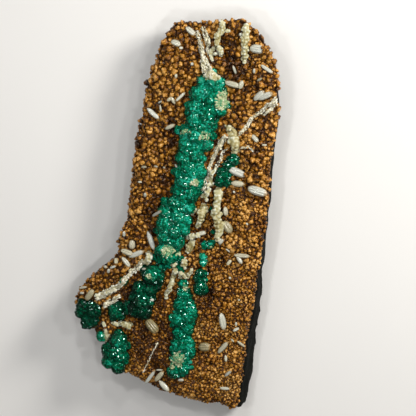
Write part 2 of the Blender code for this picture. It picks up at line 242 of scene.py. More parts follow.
class Finish:
    """A material with one Principled shader and helpers that add and link nodes."""

    def __init__(self, name, **sockets):
        self.material = bpy.data.materials.new(name)
        self.material.use_nodes = True
        self.tree = self.material.node_tree
        self.shader = self.tree.nodes["Principled BSDF"]
        for socket, value in sockets.items():
            self.shader.inputs[socket.replace("_", " ")].default_value = value

    def node(self, kind, settings, inputs, output=0):
        made = self.tree.nodes.new(kind)
        for key, value in settings.items():
            if key == "stops":
                self.set_stops(made.color_ramp, value)
            else:
                setattr(made, key, value)
        for key, value in inputs.items():
            if isinstance(value, Reading):
                self.tree.links.new(value.socket, made.inputs[key])
            else:
                made.inputs[key].default_value = value
        return Reading(self, made.outputs[output])

    def set_stops(self, ramp, stops):
        while len(ramp.elements) < len(stops):
            ramp.elements.new(0.5)
        for element, (place, colour) in zip(ramp.elements, stops):
            element.position = place
            element.color = (*colour, 1.0)

    def set(self, socket, reading):
        self.tree.links.new(reading.socket, self.shader.inputs[socket])

    def place(self):
        return self.node("ShaderNodeTexCoord", {}, {}, "Object")

    def stored(self, name, output="Fac"):
        return self.node("ShaderNodeAttribute", {"attribute_name": name}, {}, output)

    def noise(self, where, scale, detail=3.0, roughness=0.55):
        inputs = {"Vector": where, "Scale": scale, "Detail": detail, "Roughness": roughness}
        return self.node("ShaderNodeTexNoise", {}, inputs)

    def mix(self, share, first, second, blend="MIX"):
        settings = {"data_type": "RGBA", "blend_type": blend}
        return self.node("ShaderNodeMix", settings, {0: share, 6: first, 7: second}, 2)

    def ramp(self, share, stops):
        return self.node("ShaderNodeValToRGB", {"stops": stops}, {"Fac": share})

    def absorb(self, colour, density):
        """Lets the body of a clear piece take away light, the more the longer its way through."""
        inside = self.tree.nodes.new("ShaderNodeVolumeAbsorption")
        inside.inputs["Color"].default_value = colour
        inside.inputs["Density"].default_value = density
        self.tree.links.new(inside.outputs[0], self.tree.nodes["Material Output"].inputs["Volume"])

    def bump(self, height, strength, distance):
        inputs = {"Height": height, "Strength": strength, "Distance": distance}
        self.set("Normal", self.node("ShaderNodeBump", {}, inputs))


# %% [markdown]
# ### Stone finishes
#
# Basalt is nearly black, with an olive cast and a broken, dusty surface. The crust's nodules are orange
# brown on their crowns and dark red brown where they meet: the crowns are painted lighter as painted
# light, and the meeting places darker as painted shade. Each vertex of a nodule stores how high it sits
# on the crown, and each nodule stores one tone, so the colour follows the shape of every nodule.

# %% Basalt and chalcedony
def colour4(r, g, b):
    return (r, g, b, 1.0)


def make_basalt_finish():
    stone = Finish("dark_basalt", Roughness=0.82, Specular_IOR_Level=0.07)
    where = stone.place()
    broad = stone.noise(where, 38, 4)
    fine = stone.noise(where, 420, 5, 0.7)
    base = stone.mix(broad, colour4(0.0015, 0.0015, 0.001), colour4(0.007, 0.008, 0.006))
    speck = stone.ramp(fine, [(0.60, (0, 0, 0)), (0.72, (1, 1, 1))])
    stone.set("Base Color", stone.mix(speck, base, colour4(0.020, 0.022, 0.016)))
    stone.bump(fine + broad * 2.0, 0.6, 0.0012)
    return stone.material


def make_nodule_finish():
    warm_shine = colour4(1.0, 0.84, 0.68)
    skin = Finish("brown_chalcedony", Roughness=0.28, Specular_IOR_Level=0.42, Specular_Tint=warm_shine)
    where = skin.place()
    crown = skin.stored("crown")
    tone = skin.stored("tone")
    grain = skin.noise(where, 1100, 3, 0.65)
    patch = skin.noise(where, 34, 4, 0.65)
    spread = (grain - 0.5) * 1.8 + (tone - 0.64) * 0.60 + (patch - 0.5) * 0.9
    # Painted light and shade: crown height lightens the crowns and darkens the creases between nodules.
    colour = skin.ramp(
        (crown * 1.20 + spread - 0.26).clamped(),
        [(0.10, (0.010, 0.0028, 0.0003)), (0.38, (0.078, 0.025, 0.001)), (0.68, (0.270, 0.112, 0.007)),
         (0.92, (0.53, 0.27, 0.035)), (1.0, (0.66, 0.40, 0.13))],
    )
    warm = skin.mix((patch * 2.4 - 0.7).clamped(), colour4(1.0, 0.88, 0.70), colour4(0.88, 0.86, 0.95))
    skin.set("Base Color", skin.mix(1.0, colour, warm, "MULTIPLY"))
    skin.bump(grain, 0.75, 0.0007)
    return skin.material


def make_plain_finish(name, roughness, noise_shape, dark, pale, relief=None):
    """Noise mixes two colours and, where the finish has relief, roughens the surface too."""
    plain = Finish(name, Roughness=roughness)
    grain = plain.noise(plain.place(), *noise_shape)
    plain.set("Base Color", plain.mix(grain, colour4(*dark), colour4(*pale)))
    if relief:
        plain.bump(grain, *relief)
    return plain.material


# %% [markdown]
# ### Crystal finishes
#
# The green crystals let light in and scatter it, so the shader mixes transmission with a strong green
# body. The large clear ones are see-through: they mostly transmit, and their inside absorbs red light.
# Stilbite is pearly: cream, faintly striped along each blade, with a soft shine. Its lower side is
# painted darker brown by crown height, as painted shade.

# %% Apophyllite
def make_green_finish(name, clear, shine, absorbs):
    green = Finish(
        name, Roughness=0.10, IOR=1.535, Transmission_Weight=clear, Subsurface_Weight=0.15,
        Subsurface_Radius=(0.15, 1.0, 0.6), Subsurface_Scale=0.003, Specular_IOR_Level=shine,
        Specular_Tint=colour4(0.72, 1.0, 0.92),
    )
    where = green.place()
    tone = green.stored("tone")
    broad = green.noise(where, 60, 4)
    # Painted light and shade: crown height lightens crystal tips and darkens their bases.
    share = (tone + (broad - 0.5) * 0.9 + (green.stored("crown") - 0.55) * 0.40).clamped()
    colour = green.ramp(
        share,
        [(0.05, (0.0, 0.013, 0.005)), (0.40, (0.0, 0.066, 0.028)), (0.70, (0.0, 0.185, 0.084)),
         (0.92, (0.008, 0.44, 0.27)), (1.0, (0.04, 0.56, 0.40))],
    )
    green.set("Base Color", colour)
    green.bump(green.noise(where, 900, 2), 0.12, 0.0005)
    if absorbs:
        green.absorb(colour4(0.10, 0.85, 0.55), absorbs)
    return green.material


# %% Stilbite, cream crust and fibres
def make_blade_finish():
    pearl = Finish("pearly_stilbite", Roughness=0.30, Coat_Weight=0.3, Coat_Roughness=0.12)
    inputs = {0: pearl.stored("grain", "Vector"), 1: (1.2, 14.0, 14.0)}
    stretched = pearl.node("ShaderNodeVectorMath", {"operation": "MULTIPLY"}, inputs)
    stripes = pearl.noise(stretched, 1.0, 4, 0.6)
    stops = [(0.0, (0.20, 0.17, 0.085)), (0.3, (0.43, 0.41, 0.29)), (1.0, (0.50, 0.53, 0.49))]
    body = pearl.ramp(pearl.stored("tone"), stops)
    # Painted shade: the low side of each blade, by crown height, is mixed toward dark brown.
    shaded = pearl.mix((pearl.stored("crown") * 1.5 - 0.2).clamped(), colour4(0.30, 0.21, 0.07), body)
    foot = (pearl.stored("along") * 5.0 + stripes * 3.0 - 5.1).clamped()
    shaded = pearl.mix(foot * 0.8, shaded, colour4(0.26, 0.15, 0.045))
    pearl.set("Base Color", pearl.mix((stripes * 2.6 - 1.15).clamped(), shaded, colour4(0.25, 0.19, 0.08)))
    pearl.bump(stripes, 0.4, 0.0005)
    return pearl.material


def make_cream_finish():
    cream = Finish("cream_encrusted", Roughness=0.42)
    where = cream.place()
    grain = cream.noise(where, 700, 4, 0.65)
    patch = cream.noise(where, 110, 3)
    # Painted light and shade: crown height lightens the crests of the stalks and darkens their creases.
    share = (cream.stored("crown") * 0.95 + (grain - 0.5) * 0.70 + (patch - 0.5) * 0.8 - 0.02).clamped()
    colour = cream.ramp(
        share,
        [(0.12, (0.095, 0.058, 0.014)), (0.40, (0.32, 0.27, 0.105)), (0.70, (0.46, 0.45, 0.29)),
         (1.0, (0.64, 0.66, 0.57))],
    )
    cream.set("Base Color", colour)
    cream.bump(grain, 0.5, 0.0006)
    return cream.material


def make_stained_finish():
    stained = Finish("green_stained_cream", Roughness=0.4)
    patch = stained.noise(stained.place(), 240, 3)
    # Crown height paints the tops lighter, as painted light; the tone brings painted shade from hollows and
    # clefts.
    share = stained.stored("tone") * 0.60 + stained.stored("crown") * 0.30 + (patch - 0.5) * 1.3 + 0.04
    colour = stained.ramp(
        share,
        [(0.26, (0.005, 0.20, 0.095)), (0.44, (0.16, 0.32, 0.15)), (0.66, (0.38, 0.40, 0.21)),
         (1.0, (0.58, 0.62, 0.46))],
    )
    stained.set("Base Color", colour)
    stained.bump(stained.noise(stained.place(), 900, 3), 0.4, 0.0005)
    return stained.material


def make_fibre_finish():
    fibre = Finish("white_fibre", Roughness=0.5)
    stops = [(0.0, (0.34, 0.29, 0.16)), (0.5, (0.62, 0.59, 0.43)), (1.0, (0.82, 0.81, 0.72))]
    fibre.set("Base Color", fibre.ramp(fibre.stored("tone"), stops))
    return fibre.material


finishes = {
    "basalt": make_basalt_finish(),
    "nodule": make_nodule_finish(),
    # Painted shade: the bed's dark brown shows in the gaps between the nodules.
    "bed": make_plain_finish(
        "crust_bed", 0.8, (500, 4, 0.7), (0.022, 0.006, 0.001), (0.130, 0.048, 0.010), (0.8, 0.0010)
    ),
    "green": make_green_finish("green_apophyllite", 0.30, 0.22, 0),
    "clear": make_green_finish("clear_apophyllite", 0.62, 0.85, 70),
    "heart": make_plain_finish("green_heart", 0.35, (180, 3), (0.0, 0.022, 0.010), (0.0, 0.11, 0.055)),
    "blade": make_blade_finish(),
    "cream": make_cream_finish(),
    "stained": make_stained_finish(),
    "fibre": make_fibre_finish(),
    "paper": make_plain_finish("pale_floor", 0.7, (6,), (0.74, 0.73, 0.71), (0.78, 0.77, 0.75)),
}
print(f"{len(finishes)} finishes")

# %% [markdown]
# ## Copying the solids
#
# A solid of the frame is loose triangles. A copy of it is merged first, and then takes modifiers like
# any mesh. The solid itself is never changed: the dressed piece only takes its place.

# %% A dressed copy of a solid
MERGE_WITHIN = 0.00001


def copy_of(node, name, finish):
    made = bpy.data.objects.new(name, nodes[node].data.copy())
    bpy.context.collection.objects.link(made)
    made.data.materials.clear()
    made.data.materials.append(finishes[finish])
    take(made)
    edit_all()
    bpy.ops.mesh.remove_doubles(threshold=MERGE_WITHIN)
    bpy.ops.mesh.normals_make_consistent(inside=False)
    leave_edit()
    return made


def apply(thing, kind, **settings):
    """Adds one modifier with these settings and applies it."""
    take(thing)
    modifier = thing.modifiers.new(kind.lower(), kind)
    for key, value in settings.items():
        setattr(modifier, key, value)
    bpy.ops.object.modifier_apply(modifier=modifier.name)


def procedural(name, kind, scale):
    texture = bpy.data.textures.new(name, kind)
    texture.noise_scale = scale
    return texture


def finish_piece(piece, slot, *replaced):
    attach(piece, "root")
    if replaced:
        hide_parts(*replaced)


# %% [markdown]
# ## Basalt slab
#
# The slab's sides are broken rock. A voxel remesh gives the copy an even skin, and two Displace
# modifiers press cells and clouds into it. Both stay shallow, so the slab keeps its size. It is drawn in
# a little under the crust, but not on the right, where its dark side shows past the crust's lower half.

# %% Basalt
ROCK_VOXEL = 0.0022
CHIP_SIZE = 0.016
CHIP_DEPTH = 0.0018
CHIP_LEVEL = 0.35
DUST_SIZE = 0.005
DUST_DEPTH = 0.0012
DUST_LEVEL = 0.45
BACK_CUT = 0.0001
ROCK_PULL = 0.012
PULL_START = 0.03
PULL_SPAN = 0.06
STRIP_START = -0.06
STRIP_SPAN = 0.03
STRIP_WIDER = 0.0012

slab = copy_of("basalt_matrix", "broken_basalt", "basalt")
apply(slab, "REMESH", mode="VOXEL", voxel_size=ROCK_VOXEL)
chips = procedural("chips", "VORONOI", CHIP_SIZE)
apply(slab, "DISPLACE", texture=chips, texture_coords="LOCAL", strength=CHIP_DEPTH, mid_level=CHIP_LEVEL)
dust = procedural("dust", "CLOUDS", DUST_SIZE)
apply(slab, "DISPLACE", texture=dust, texture_coords="LOCAL", strength=DUST_DEPTH, mid_level=DUST_LEVEL)
take(slab)
edit_all()
bpy.ops.mesh.bisect(plane_co=(0, 0, BACK_CUT), plane_no=(0, 0, 1), use_fill=True, clear_inner=True)
leave_edit()
for vertex in slab.data.vertices:
    share = min(1, max(0, (vertex.co.y - PULL_START) / PULL_SPAN)) if vertex.co.x > 0 else 1
    vertex.co.x *= 1 - ROCK_PULL * share
    vertex.co.y *= 1 - ROCK_PULL * share
    if vertex.co.x > 0 and vertex.co.y < STRIP_START:
        vertex.co.x += STRIP_WIDER * min(1, (STRIP_START - vertex.co.y) / STRIP_SPAN)
slab.data.shade_smooth()
finish_piece(slab, "basalt", "basalt_matrix")
print("slab", len(slab.data.polygons), "faces")

# %% [markdown]
# ## Crust bed
#
# The nodules grow on a bumpy bed. It is the crust's solid with one level of subdivision, pressed in a
# little so that the nodules bring it back to its size. Broad hollows, which lie in shadow on the real
# piece, are pressed deeper, and so are the small dark holes between the nodules. Ovals and holes are
# read from the photograph: centre, half widths and depth in pixels. Nodules in the hollows, in the
# shade ovals and in clefts between clumps are painted darker, as painted shade. In the light ovals they
# are painted brighter, partly as painted light and partly as paler crust.

# %% Bed
BED_PRESS = 0.0011
HOLLOW_DEPTH = 0.0024
HOLE_DEPTH = 0.0030
HOLE_MARGIN = 1.0
CLUMP_DEPTH = 0.0032
CLUMP_SCALE = 85
CLUMP_LEVEL = 4.2
BED_FLOOR = 0.0300

HOLLOWS = [
    (232, 65, 10, 15, 1.0), (214, 136, 9, 7, 0.9), (172, 138, 8, 45, 0.75), (148, 340, 15, 16, 0.7),
    (211, 296, 9, 11, 0.8), (226, 28, 7, 8, 0.5), (250, 64, 6, 9, 0.5), (152, 212, 9, 14, 0.5),
    (196, 316, 6, 14, 0.5), (160, 300, 7, 12, 0.45), (118, 306, 14, 7, 0.6), (200, 226, 8, 12, 0.5),
    (228, 200, 6, 10, 0.4), (150, 232, 10, 9, 0.5), (222, 262, 10, 14, 0.4),
]
# Painted shade: nodules in these ovals are coloured darker.
PAINTED_SHADE_OVALS = [
    (166, 165, 16, 52, 0.45), (152, 215, 15, 24, 0.55), (130, 292, 20, 18, 0.55), (205, 300, 22, 26, 0.40),
    (148, 345, 26, 30, 0.75), (236, 67, 12, 16, 0.80), (240, 105, 24, 24, 0.25), (152, 366, 16, 14, 0.50),
    (118, 275, 22, 13, 0.50), (215, 136, 10, 9, 0.50), (200, 238, 14, 20, 0.35), (98, 332, 14, 10, 0.50),
    (136, 277, 6, 5, 0.60), (128, 285, 6, 5, 0.75), (120, 293, 6, 5, 0.75), (111, 300, 6, 4, 0.60),
    (178, 300, 10, 30, 0.25), (166, 342, 18, 32, 0.50), (234, 42, 10, 22, 0.15), (160, 318, 14, 16, 0.25),
]
# Painted light, and partly paler crust: nodules in these ovals are coloured brighter.
PAINTED_LIGHT_AND_PALE_OVALS = [
    (245, 225, 26, 75, 0.30), (225, 345, 34, 60, 0.16), (238, 130, 20, 40, 0.12), (160, 60, 24, 30, 0.10),
]
HOLES = [
    (196, 26, 2.2), (198, 31, 1.8), (254, 37, 1.8), (224, 37, 2.2), (226, 43, 1.8), (220, 135, 2.8),
    (158, 108, 1.8), (148.5, 214, 2.6), (136, 267, 1.8), (253.5, 256, 1.4), (197, 387, 1.6),
    (173.5, 114, 1.7),
]


def hollow_at(across, down, ovals):
    """How deep a pixel lies in these ovals: 0 outside, 1 in the middle of the deepest."""
    deepest = 0.0
    for x, y, half_x, half_y, depth in ovals:
        far = math.hypot((across - x) / half_x, (down - y) / half_y)
        if far < 1:
            deepest = max(deepest, depth * (1 - far * far) ** 1.5)
    return deepest


def patchy(place, scale, level):
    """Smooth noise across the face, the same at any height. Each level gives other patches."""
    return noise.noise(Vector((place.x * scale, place.y * scale, level)))


def clump_at(place):
    """How deep a place lies between the clumps that the nodules form."""
    return max(0, patchy(place, CLUMP_SCALE, CLUMP_LEVEL))


def hole_at(across, down, margin=0.0):
    return any(math.hypot(across - x, down - y) < radius + margin for x, y, radius in HOLES)


bed = copy_of("chalcedony_crust", "crust_bed", "bed")
apply(bed, "SUBSURF", levels=1, render_levels=1)
apply(bed, "DISPLACE", strength=-BED_PRESS, mid_level=0.0)
for vertex in bed.data.vertices:
    across, down = pixel_of(vertex.co)
    drop = HOLLOW_DEPTH * hollow_at(across, down, HOLLOWS)
    drop += HOLE_DEPTH if hole_at(across, down, HOLE_MARGIN) else 0
    drop += CLUMP_DEPTH * clump_at(vertex.co)
    if vertex.co.z > BED_FLOOR:
        vertex.co.z = max(BED_FLOOR, vertex.co.z - drop)
bed.data.shade_smooth()
finish_piece(bed, "crust", "chalcedony_crust")
print("bed", len(bed.data.polygons), "faces")

# %% [markdown]
# ## Where stalks and veins run
#
# The courses of the stalks and veins are read from the photograph: pixels across and down, with a width
# in pixels. They are needed before the crust grows, because no nodules grow under a wide stalk.

# %% Courses of stalks and veins
STALK_COVER = 0.42
STALK_NARROWEST = 4
VEIN_COVER = 0.40
VEIN_NARROWEST = 5
STALK_LINES = {
    "top_hook": [(222, 19, 6.5), (223, 30, 7), (217, 35, 6.5), (217, 40, 6), (217, 45, 6)],
    "top_arch": [(213, 61.5, 3), (210.8, 57, 4.5), (211.5, 51, 5.5), (215, 47.2, 6), (219.5, 48, 6.5),
                 (221.6, 52, 6), (220.5, 56, 4)],
    "top_arch_inside": [(214.5, 54, 4), (217.5, 53, 4)],
    "top_nub": [(226, 31, 4), (230, 31, 4)],
    "top_right": [(246, 24, 7), (246, 34, 8.5), (245, 44, 8.5), (245, 54, 7.5), (244.5, 60, 6),
                  (244, 64, 4)],
    "top_right_lobe": [(242, 34, 4), (239.5, 35, 3)],
    "fork": [(227, 125, 6), (231, 129, 8), (232, 135, 9), (234, 142, 12), (236, 148, 10), (233, 156, 6)],
    "tall": [(219, 187, 10), (219, 196, 11.5), (216, 204, 9), (216, 213, 11), (219, 222, 9.5),
             (219, 231, 8.5), (217, 241, 6)],
    "slanted": [(205, 205, 8), (202, 214, 9.5), (198, 226, 7)],
    "slanted_side": [(196, 209, 4), (192, 215, 4)],
    "short": [(187, 238, 6), (193, 236, 7), (199, 235, 5.5)],
    "inner": [(194, 240, 6.5), (190, 247, 8.5), (187, 252, 6)],
    "drop": [(184, 257, 6), (184, 263, 7), (184, 269, 5)],
    "lower": [(174, 263, 7), (176, 270, 7.5), (173, 279, 6), (171, 286, 6), (167, 293, 5.5), (166, 299, 4)],
    "ring": [(181, 278, 4.5), (179.5, 272, 4), (186, 277.5, 6), (191, 272, 5), (191.5, 269, 4)],
    "knob": [(151, 253, 7), (148.5, 258, 9.5), (146, 263, 6)],
    "star": [(118, 323, 4), (124, 324, 9), (129, 326, 8), (133, 324, 4)],
    "star_side": [(112, 322, 5), (118, 325, 5)],
    "star_foot": [(103, 322, 4), (105, 326, 4)],
    "bud_cream": [(105, 329, 4), (107.5, 334, 6), (106, 341, 4.5)],
    "top_mass": [(205, 60, 6), (206, 67, 8), (211, 76, 10), (219, 78, 6)],
}
BAND_LINES = {
    "middle": [(218, 164, 5), (215, 171, 8), (213, 178, 9), (210, 185, 11), (207, 193, 10), (204, 199, 9)],
    "left": [(144, 261, 6), (139, 266, 7), (132, 272, 8), (127, 277, 6), (118, 287, 8), (110, 291, 9),
             (103, 294, 10), (96, 297, 9)],
    "top_left": [(203, 52, 4), (204, 60, 6), (206, 67, 9), (211, 76, 10), (216, 79, 8)],
    "thread": [(226, 136, 5), (222, 141, 7), (219, 147, 8), (216, 152, 4)],
    "left_foot": [(112, 301, 5), (106, 304, 4)],
}
VEIN_LINES = {
    "right": [(277, 98, 6), (274, 104, 7), (268, 105, 3), (261, 112, 4), (257, 114, 3), (250, 121, 3),
              (244, 130, 3), (239, 135, 2.5)],
    "right_branch": [(275, 103, 4), (271, 109, 3.5), (264, 115, 2)],
    "top_left": [(196, 31, 3.5), (199, 38, 4), (201, 46, 4), (203, 56, 5), (205, 66, 9), (210, 76, 11)],
    "top_middle": [(203, 27, 3.5), (205, 34, 4.5), (208, 41, 5.5), (208, 54, 3)],
    "thread": [(226, 136, 4), (222, 141, 6), (218, 148, 5), (215, 154, 3.5), (212, 162, 3.5), (209, 170, 4),
               (206, 178, 4.5), (203, 190, 4)],
    "thread_side": [(227, 148, 2.2), (222, 153, 2.6), (221, 159, 2.2), (218, 163, 2.2)],
    "left": [(144, 261, 3), (131, 273, 4), (118, 287, 5), (104, 294, 7), (96, 298, 6)],
    "left_fringe": [(120, 296, 3), (112, 301, 6), (104, 306, 5)],
    "lower": [(158, 342, 1.8), (153.5, 350, 1.2), (149, 360, 0.9), (143.5, 372, 0.7)],
    "cross": [(241, 148, 1.6), (249, 147, 1.6), (253, 151, 1.6)],
}


def along_line(stations, pitch):
    """Steps along a line of (across, down, width) pixels: place, direction and width of each."""
    steps = []
    for (x0, y0, w0), (x1, y1, w1) in zip(stations, stations[1:]):
        length = math.hypot(x1 - x0, y1 - y0)
        count = max(1, round(length / pitch))
        for i in range(count):
            t = (i + 0.5) / count
            way = (right * (x1 - x0) - above * (y1 - y0)).normalized()
            steps.append((x0 + (x1 - x0) * t, y0 + (y1 - y0) * t, way, w0 + (w1 - w0) * t))
    return steps


def under_lines(lines, share, narrowest):
    """Whole pixels that lie under these lines, where they are wide enough."""
    found = set()
    for stations in lines.values():
        for across, down, _, wide in along_line(stations, 1.0):
            reach = wide * share
            if wide < narrowest:
                continue
            for x in range(int(across - reach), int(across + reach) + 2):
                for y in range(int(down - reach), int(down + reach) + 2):
                    if math.hypot(x - across, y - down) < reach:
                        found.add((x, y))
    return found


covered = under_lines(STALK_LINES | BAND_LINES, STALK_COVER, STALK_NARROWEST)
covered |= under_lines(VEIN_LINES, VEIN_COVER, VEIN_NARROWEST)
print(len(covered), "pixels under stalks and veins")

# %% [markdown]
# ## Where the green domes stand
#
# Each green patch is a row of domes, read as pixels with a radius in pixels. They are listed here,
# because no nodules grow under their middles either.

# %% Domes of the green patches
DOME_COVER = 0.6
DOMES = {
    "main_vein": [
        (201.5, 80.5, 4.5), (212.5, 83.5, 5.5), (198, 93, 8), (212, 98, 11), (196, 107, 8), (220, 110, 7),
        (207, 113, 10), (195, 120, 9), (209, 122, 6), (186, 130, 6), (196, 134, 9), (206, 145, 6.5),
        (187, 144, 9), (196, 155, 8), (182, 158, 7), (190, 168, 9), (201, 173, 6), (179, 173, 5.5),
        (187, 182, 9), (200, 183, 6), (179, 190, 7), (191, 194, 9), (176, 203, 9), (188, 207, 7),
        (166, 211, 8), (178, 217, 9), (187, 220, 5), (164, 224, 8), (175, 231, 9), (184, 230, 6),
        (164, 237, 7), (178, 242, 7), (162, 250, 6), (171, 258, 6),
    ],
    "left_mass": [
        (152, 275, 11), (146, 270, 7), (158, 270, 6), (140, 288, 8), (144, 301, 11.5), (136, 310, 8),
        (144, 312, 8), (151, 290, 6),
    ],
    "lower_chain": [
        (184, 284, 4.5), (183, 294, 6), (183, 306, 8), (187, 317, 9), (179, 320, 8), (187, 327, 7),
        (182, 335, 6), (184, 345, 8), (178, 347, 6), (190, 350, 5), (180, 358, 6), (186, 364, 5),
        (174, 372, 7), (182, 371, 6),
    ],
    "lower_right": [(201, 274, 6.5), (201, 288, 7.5)],
    "right_cluster": [
        (234, 159, 5.5), (229, 165, 6.5), (229, 173, 8), (228, 181, 7), (221, 181, 6.5), (223, 173, 7),
        (232, 168, 6), (226, 177, 7),
    ],
    "far_left": [(84, 308, 8), (93, 311, 7), (88, 322, 7), (80, 313, 5)],
    "foot": [(118, 340, 9), (112, 352, 11), (109, 361, 8), (120, 356, 8), (118, 367, 7)],
    "left_knob": [(115, 313, 7), (119, 306, 5)],
    "foot_bud": [(101, 337, 4.5)],
    "vein_bud": [(124, 281, 3.6)],
    "right_bud": [(210, 244.5, 4)],
    "right_oval": [(203, 257, 3.3), (203, 263, 3.3)],
}

for row in DOMES.values():
    for across, down, radius in row:
        dot = [(across - 0.5, down, 1), (across + 0.5, down, 1)]
        covered |= under_lines({"dome": dot}, radius * DOME_COVER, 1)
print(len(covered), "pixels covered in all")

# %% [markdown]
# ## Scattering and stamping
#
# Two helpers do the growing. `scatter` picks random places on a surface and keeps those that are far
# enough from the ones already kept, each with its own size. `stamp` copies one small shape to all those
# places and joins the copies in one mesh, which stores each copy's tone and crown height.

# %% Random places on a surface
CELL = 0.005
SEED = 11
STEEPEST = -0.2

chance = random.Random(SEED)
draw = np.random.default_rng(SEED)


def random_places(thing, count, lowest):
    """Random places on a mesh and its normals there, by area, above a height and not underneath."""
    mesh = thing.data
    mesh.calc_loop_triangles()
    corners = np.empty(len(mesh.vertices) * 3)
    mesh.vertices.foreach_get("co", corners)
    corners = corners.reshape(-1, 3)
    index = np.empty(len(mesh.loop_triangles) * 3, dtype=np.int64)
    mesh.loop_triangles.foreach_get("vertices", index)
    a, b, c = (corners[i] for i in index.reshape(-1, 3).T)
    across = np.cross(b - a, c - a)
    size = np.linalg.norm(across, axis=1)
    normal = across / np.maximum(size, 1e-12)[:, None]
    size = np.where((normal[:, 2] > STEEPEST) & ((a + b + c)[:, 2] / 3 > lowest), size, 0.0)
    pick = draw.choice(len(size), size=count, p=size / size.sum())
    u, v = draw.random(count), draw.random(count)
    flip = u + v > 1
    u, v = np.where(flip, 1 - u, u), np.where(flip, 1 - v, v)
    places = a[pick] + (b - a)[pick] * u[:, None] + (c - a)[pick] * v[:, None]
    return [Vector(p) for p in places], [Vector(n) for n in normal[pick]]


# %% Keep those that have room
NEAR = [(i, j, k) for i in (-1, 0, 1) for j in (-1, 0, 1) for k in (-1, 0, 1)]


def has_room(place, size, room, taken):
    home = tuple(int(v // CELL) for v in place)
    for i, j, k in NEAR:
        for other, reach in taken.get((home[0] + i, home[1] + j, home[2] + k), ()):
            if (place - other).length < room * (size + reach):
                return False
    taken.setdefault(home, []).append((place, size))
    return True


def scatter(thing, count, size_at, room, taken, lowest):
    """Places with normals and sizes, none nearer to another than room times both sizes."""
    kept = []
    for place, normal in zip(*random_places(thing, count, lowest)):
        size = size_at(place)
        if size > 0 and has_room(place, size, room, taken):
            kept.append((place, normal, size))
    return kept


def turned(normal, tilt):
    """A turn that lays Z along the normal, leaning by a random tilt and spun about itself."""
    lean = Vector((chance.gauss(0, tilt), chance.gauss(0, tilt), chance.gauss(0, tilt)))
    turn = (normal + lean).to_track_quat("Z", "Y").to_matrix()
    return turn @ Matrix.Rotation(chance.uniform(0, math.tau), 3, "Z")


# %% Stamp copies into one mesh
def pattern_of(shape):
    points = np.array([v.co for v in shape.data.vertices])
    low, high = points[:, 2].min(), points[:, 2].max()
    return points, (points[:, 2] - low) / (high - low), [list(p.vertices) for p in shape.data.polygons]


def store(mesh, label, values):
    """Stores one number for each vertex, which a finish reads by its label."""
    mesh.attributes.new(label, "FLOAT", "POINT").data.foreach_set("value", values)


def stamp(name, shapes, spots, finish, smooth):
    """One mesh of copies: each spot is (shape number, place, 3 by 3 turn with scale, tone)."""
    patterns = [pattern_of(shape) for shape in shapes]
    vertices, faces, crowns, tones, grains, alongs = [], [], [], [], [], []
    total = 0
    for number, place, turn, tone in spots:
        points, crown, sides = patterns[number]
        vertices.append(points @ np.array(turn).T + np.array(place))
        crowns.append(crown)
        tones.append(np.full(len(points), tone))
        grains.append(points + chance.uniform(0, 40))
        alongs.append(points[:, 0])
        faces += [[total + i for i in side] for side in sides]
        total += len(points)
    mesh = bpy.data.meshes.new(name)
    mesh.from_pydata(np.concatenate(vertices).tolist(), [], faces)
    for label, values in (("crown", crowns), ("tone", tones), ("along", alongs)):
        store(mesh, label, np.concatenate(values))
    grain = mesh.attributes.new("grain", "FLOAT_VECTOR", "POINT")
    grain.data.foreach_set("vector", np.concatenate(grains).ravel())
    if smooth:
        mesh.shade_smooth()
    mesh.materials.append(finishes[finish])
    piece = bpy.data.objects.new(name, mesh)
    bpy.context.collection.objects.link(piece)
    print(name, len(spots), "copies,", len(mesh.polygons), "faces")
    return piece


# %% [markdown]
# ## Nodule shapes
#
# A nodule is a small knob with a few lumps grown on it, like a tiny bunch of grapes. A plain ball would
# look like a bead. A voxel remesh grows ball and lumps together, the buried part is cut off, and the
# shape is thinned to a few dozen faces, because it is copied thousands of times.

# %% Model the nodules
NODULE_FACES = 80
NODULE_BALL = 0.88
NODULE_VOXEL = 0.13
NODULE_CUT = -0.4
KNOB_OUT = 0.78
KNOB_RADII = (0.34, 0.52)
NODULE_SHAPES = 6
GRAIN_SHAPES = 4
GRAIN_ROUGH = 0.22


def template(name):
    """Names the new primitive. It is a pattern that is copied and never shown itself."""
    shape = bpy.context.object
    shape.name = name
    return shape


def triangles_of(shape):
    return sum(len(side.vertices) - 2 for side in shape.data.polygons)


def nodule_shape(number, lumps):
    start()
    bpy.ops.mesh.primitive_ico_sphere_add(subdivisions=3, radius=NODULE_BALL)
    shape = template(f"nodule_pattern_{number}")
    bpy.ops.object.mode_set(mode="EDIT")
    for lump in range(lumps):
        side = math.tau * (lump + chance.uniform(-0.3, 0.3)) / lumps
        up = chance.uniform(0.10, 0.90)
        out = KNOB_OUT * math.sqrt(1 - up * up)
        bpy.ops.mesh.primitive_ico_sphere_add(
            subdivisions=2,
            radius=chance.uniform(*KNOB_RADII),
            location=(out * math.cos(side), out * math.sin(side), KNOB_OUT * up),
        )
    leave_edit()
    apply(shape, "REMESH", mode="VOXEL", voxel_size=NODULE_VOXEL)
    edit_all()
    bpy.ops.mesh.bisect(plane_co=(0, 0, NODULE_CUT), plane_no=(0, 0, 1), use_fill=True, clear_inner=True)
    leave_edit()
    apply(shape, "DECIMATE", ratio=NODULE_FACES / triangles_of(shape))
    return shape


def grain_shape(number):
    start()
    bpy.ops.mesh.primitive_ico_sphere_add(subdivisions=1, radius=1)
    shape = template(f"grain_pattern_{number}")
    edit_all()
    bpy.ops.transform.vertex_random(offset=GRAIN_ROUGH, seed=number + 1)
    leave_edit()
    return shape


nodules = [nodule_shape(number, 4 + number % 3) for number in range(NODULE_SHAPES)]
grains = [grain_shape(number) for number in range(GRAIN_SHAPES)]
print("nodule faces:", [len(shape.data.polygons) for shape in nodules + grains])

# %% [markdown]
# ## Nodular crust
#
# The nodules are largest at the upper left and finer toward the lower right. Each region of the slab is
# a mesh of its own, to keep the files small. A second pass drops single grains into the gaps.

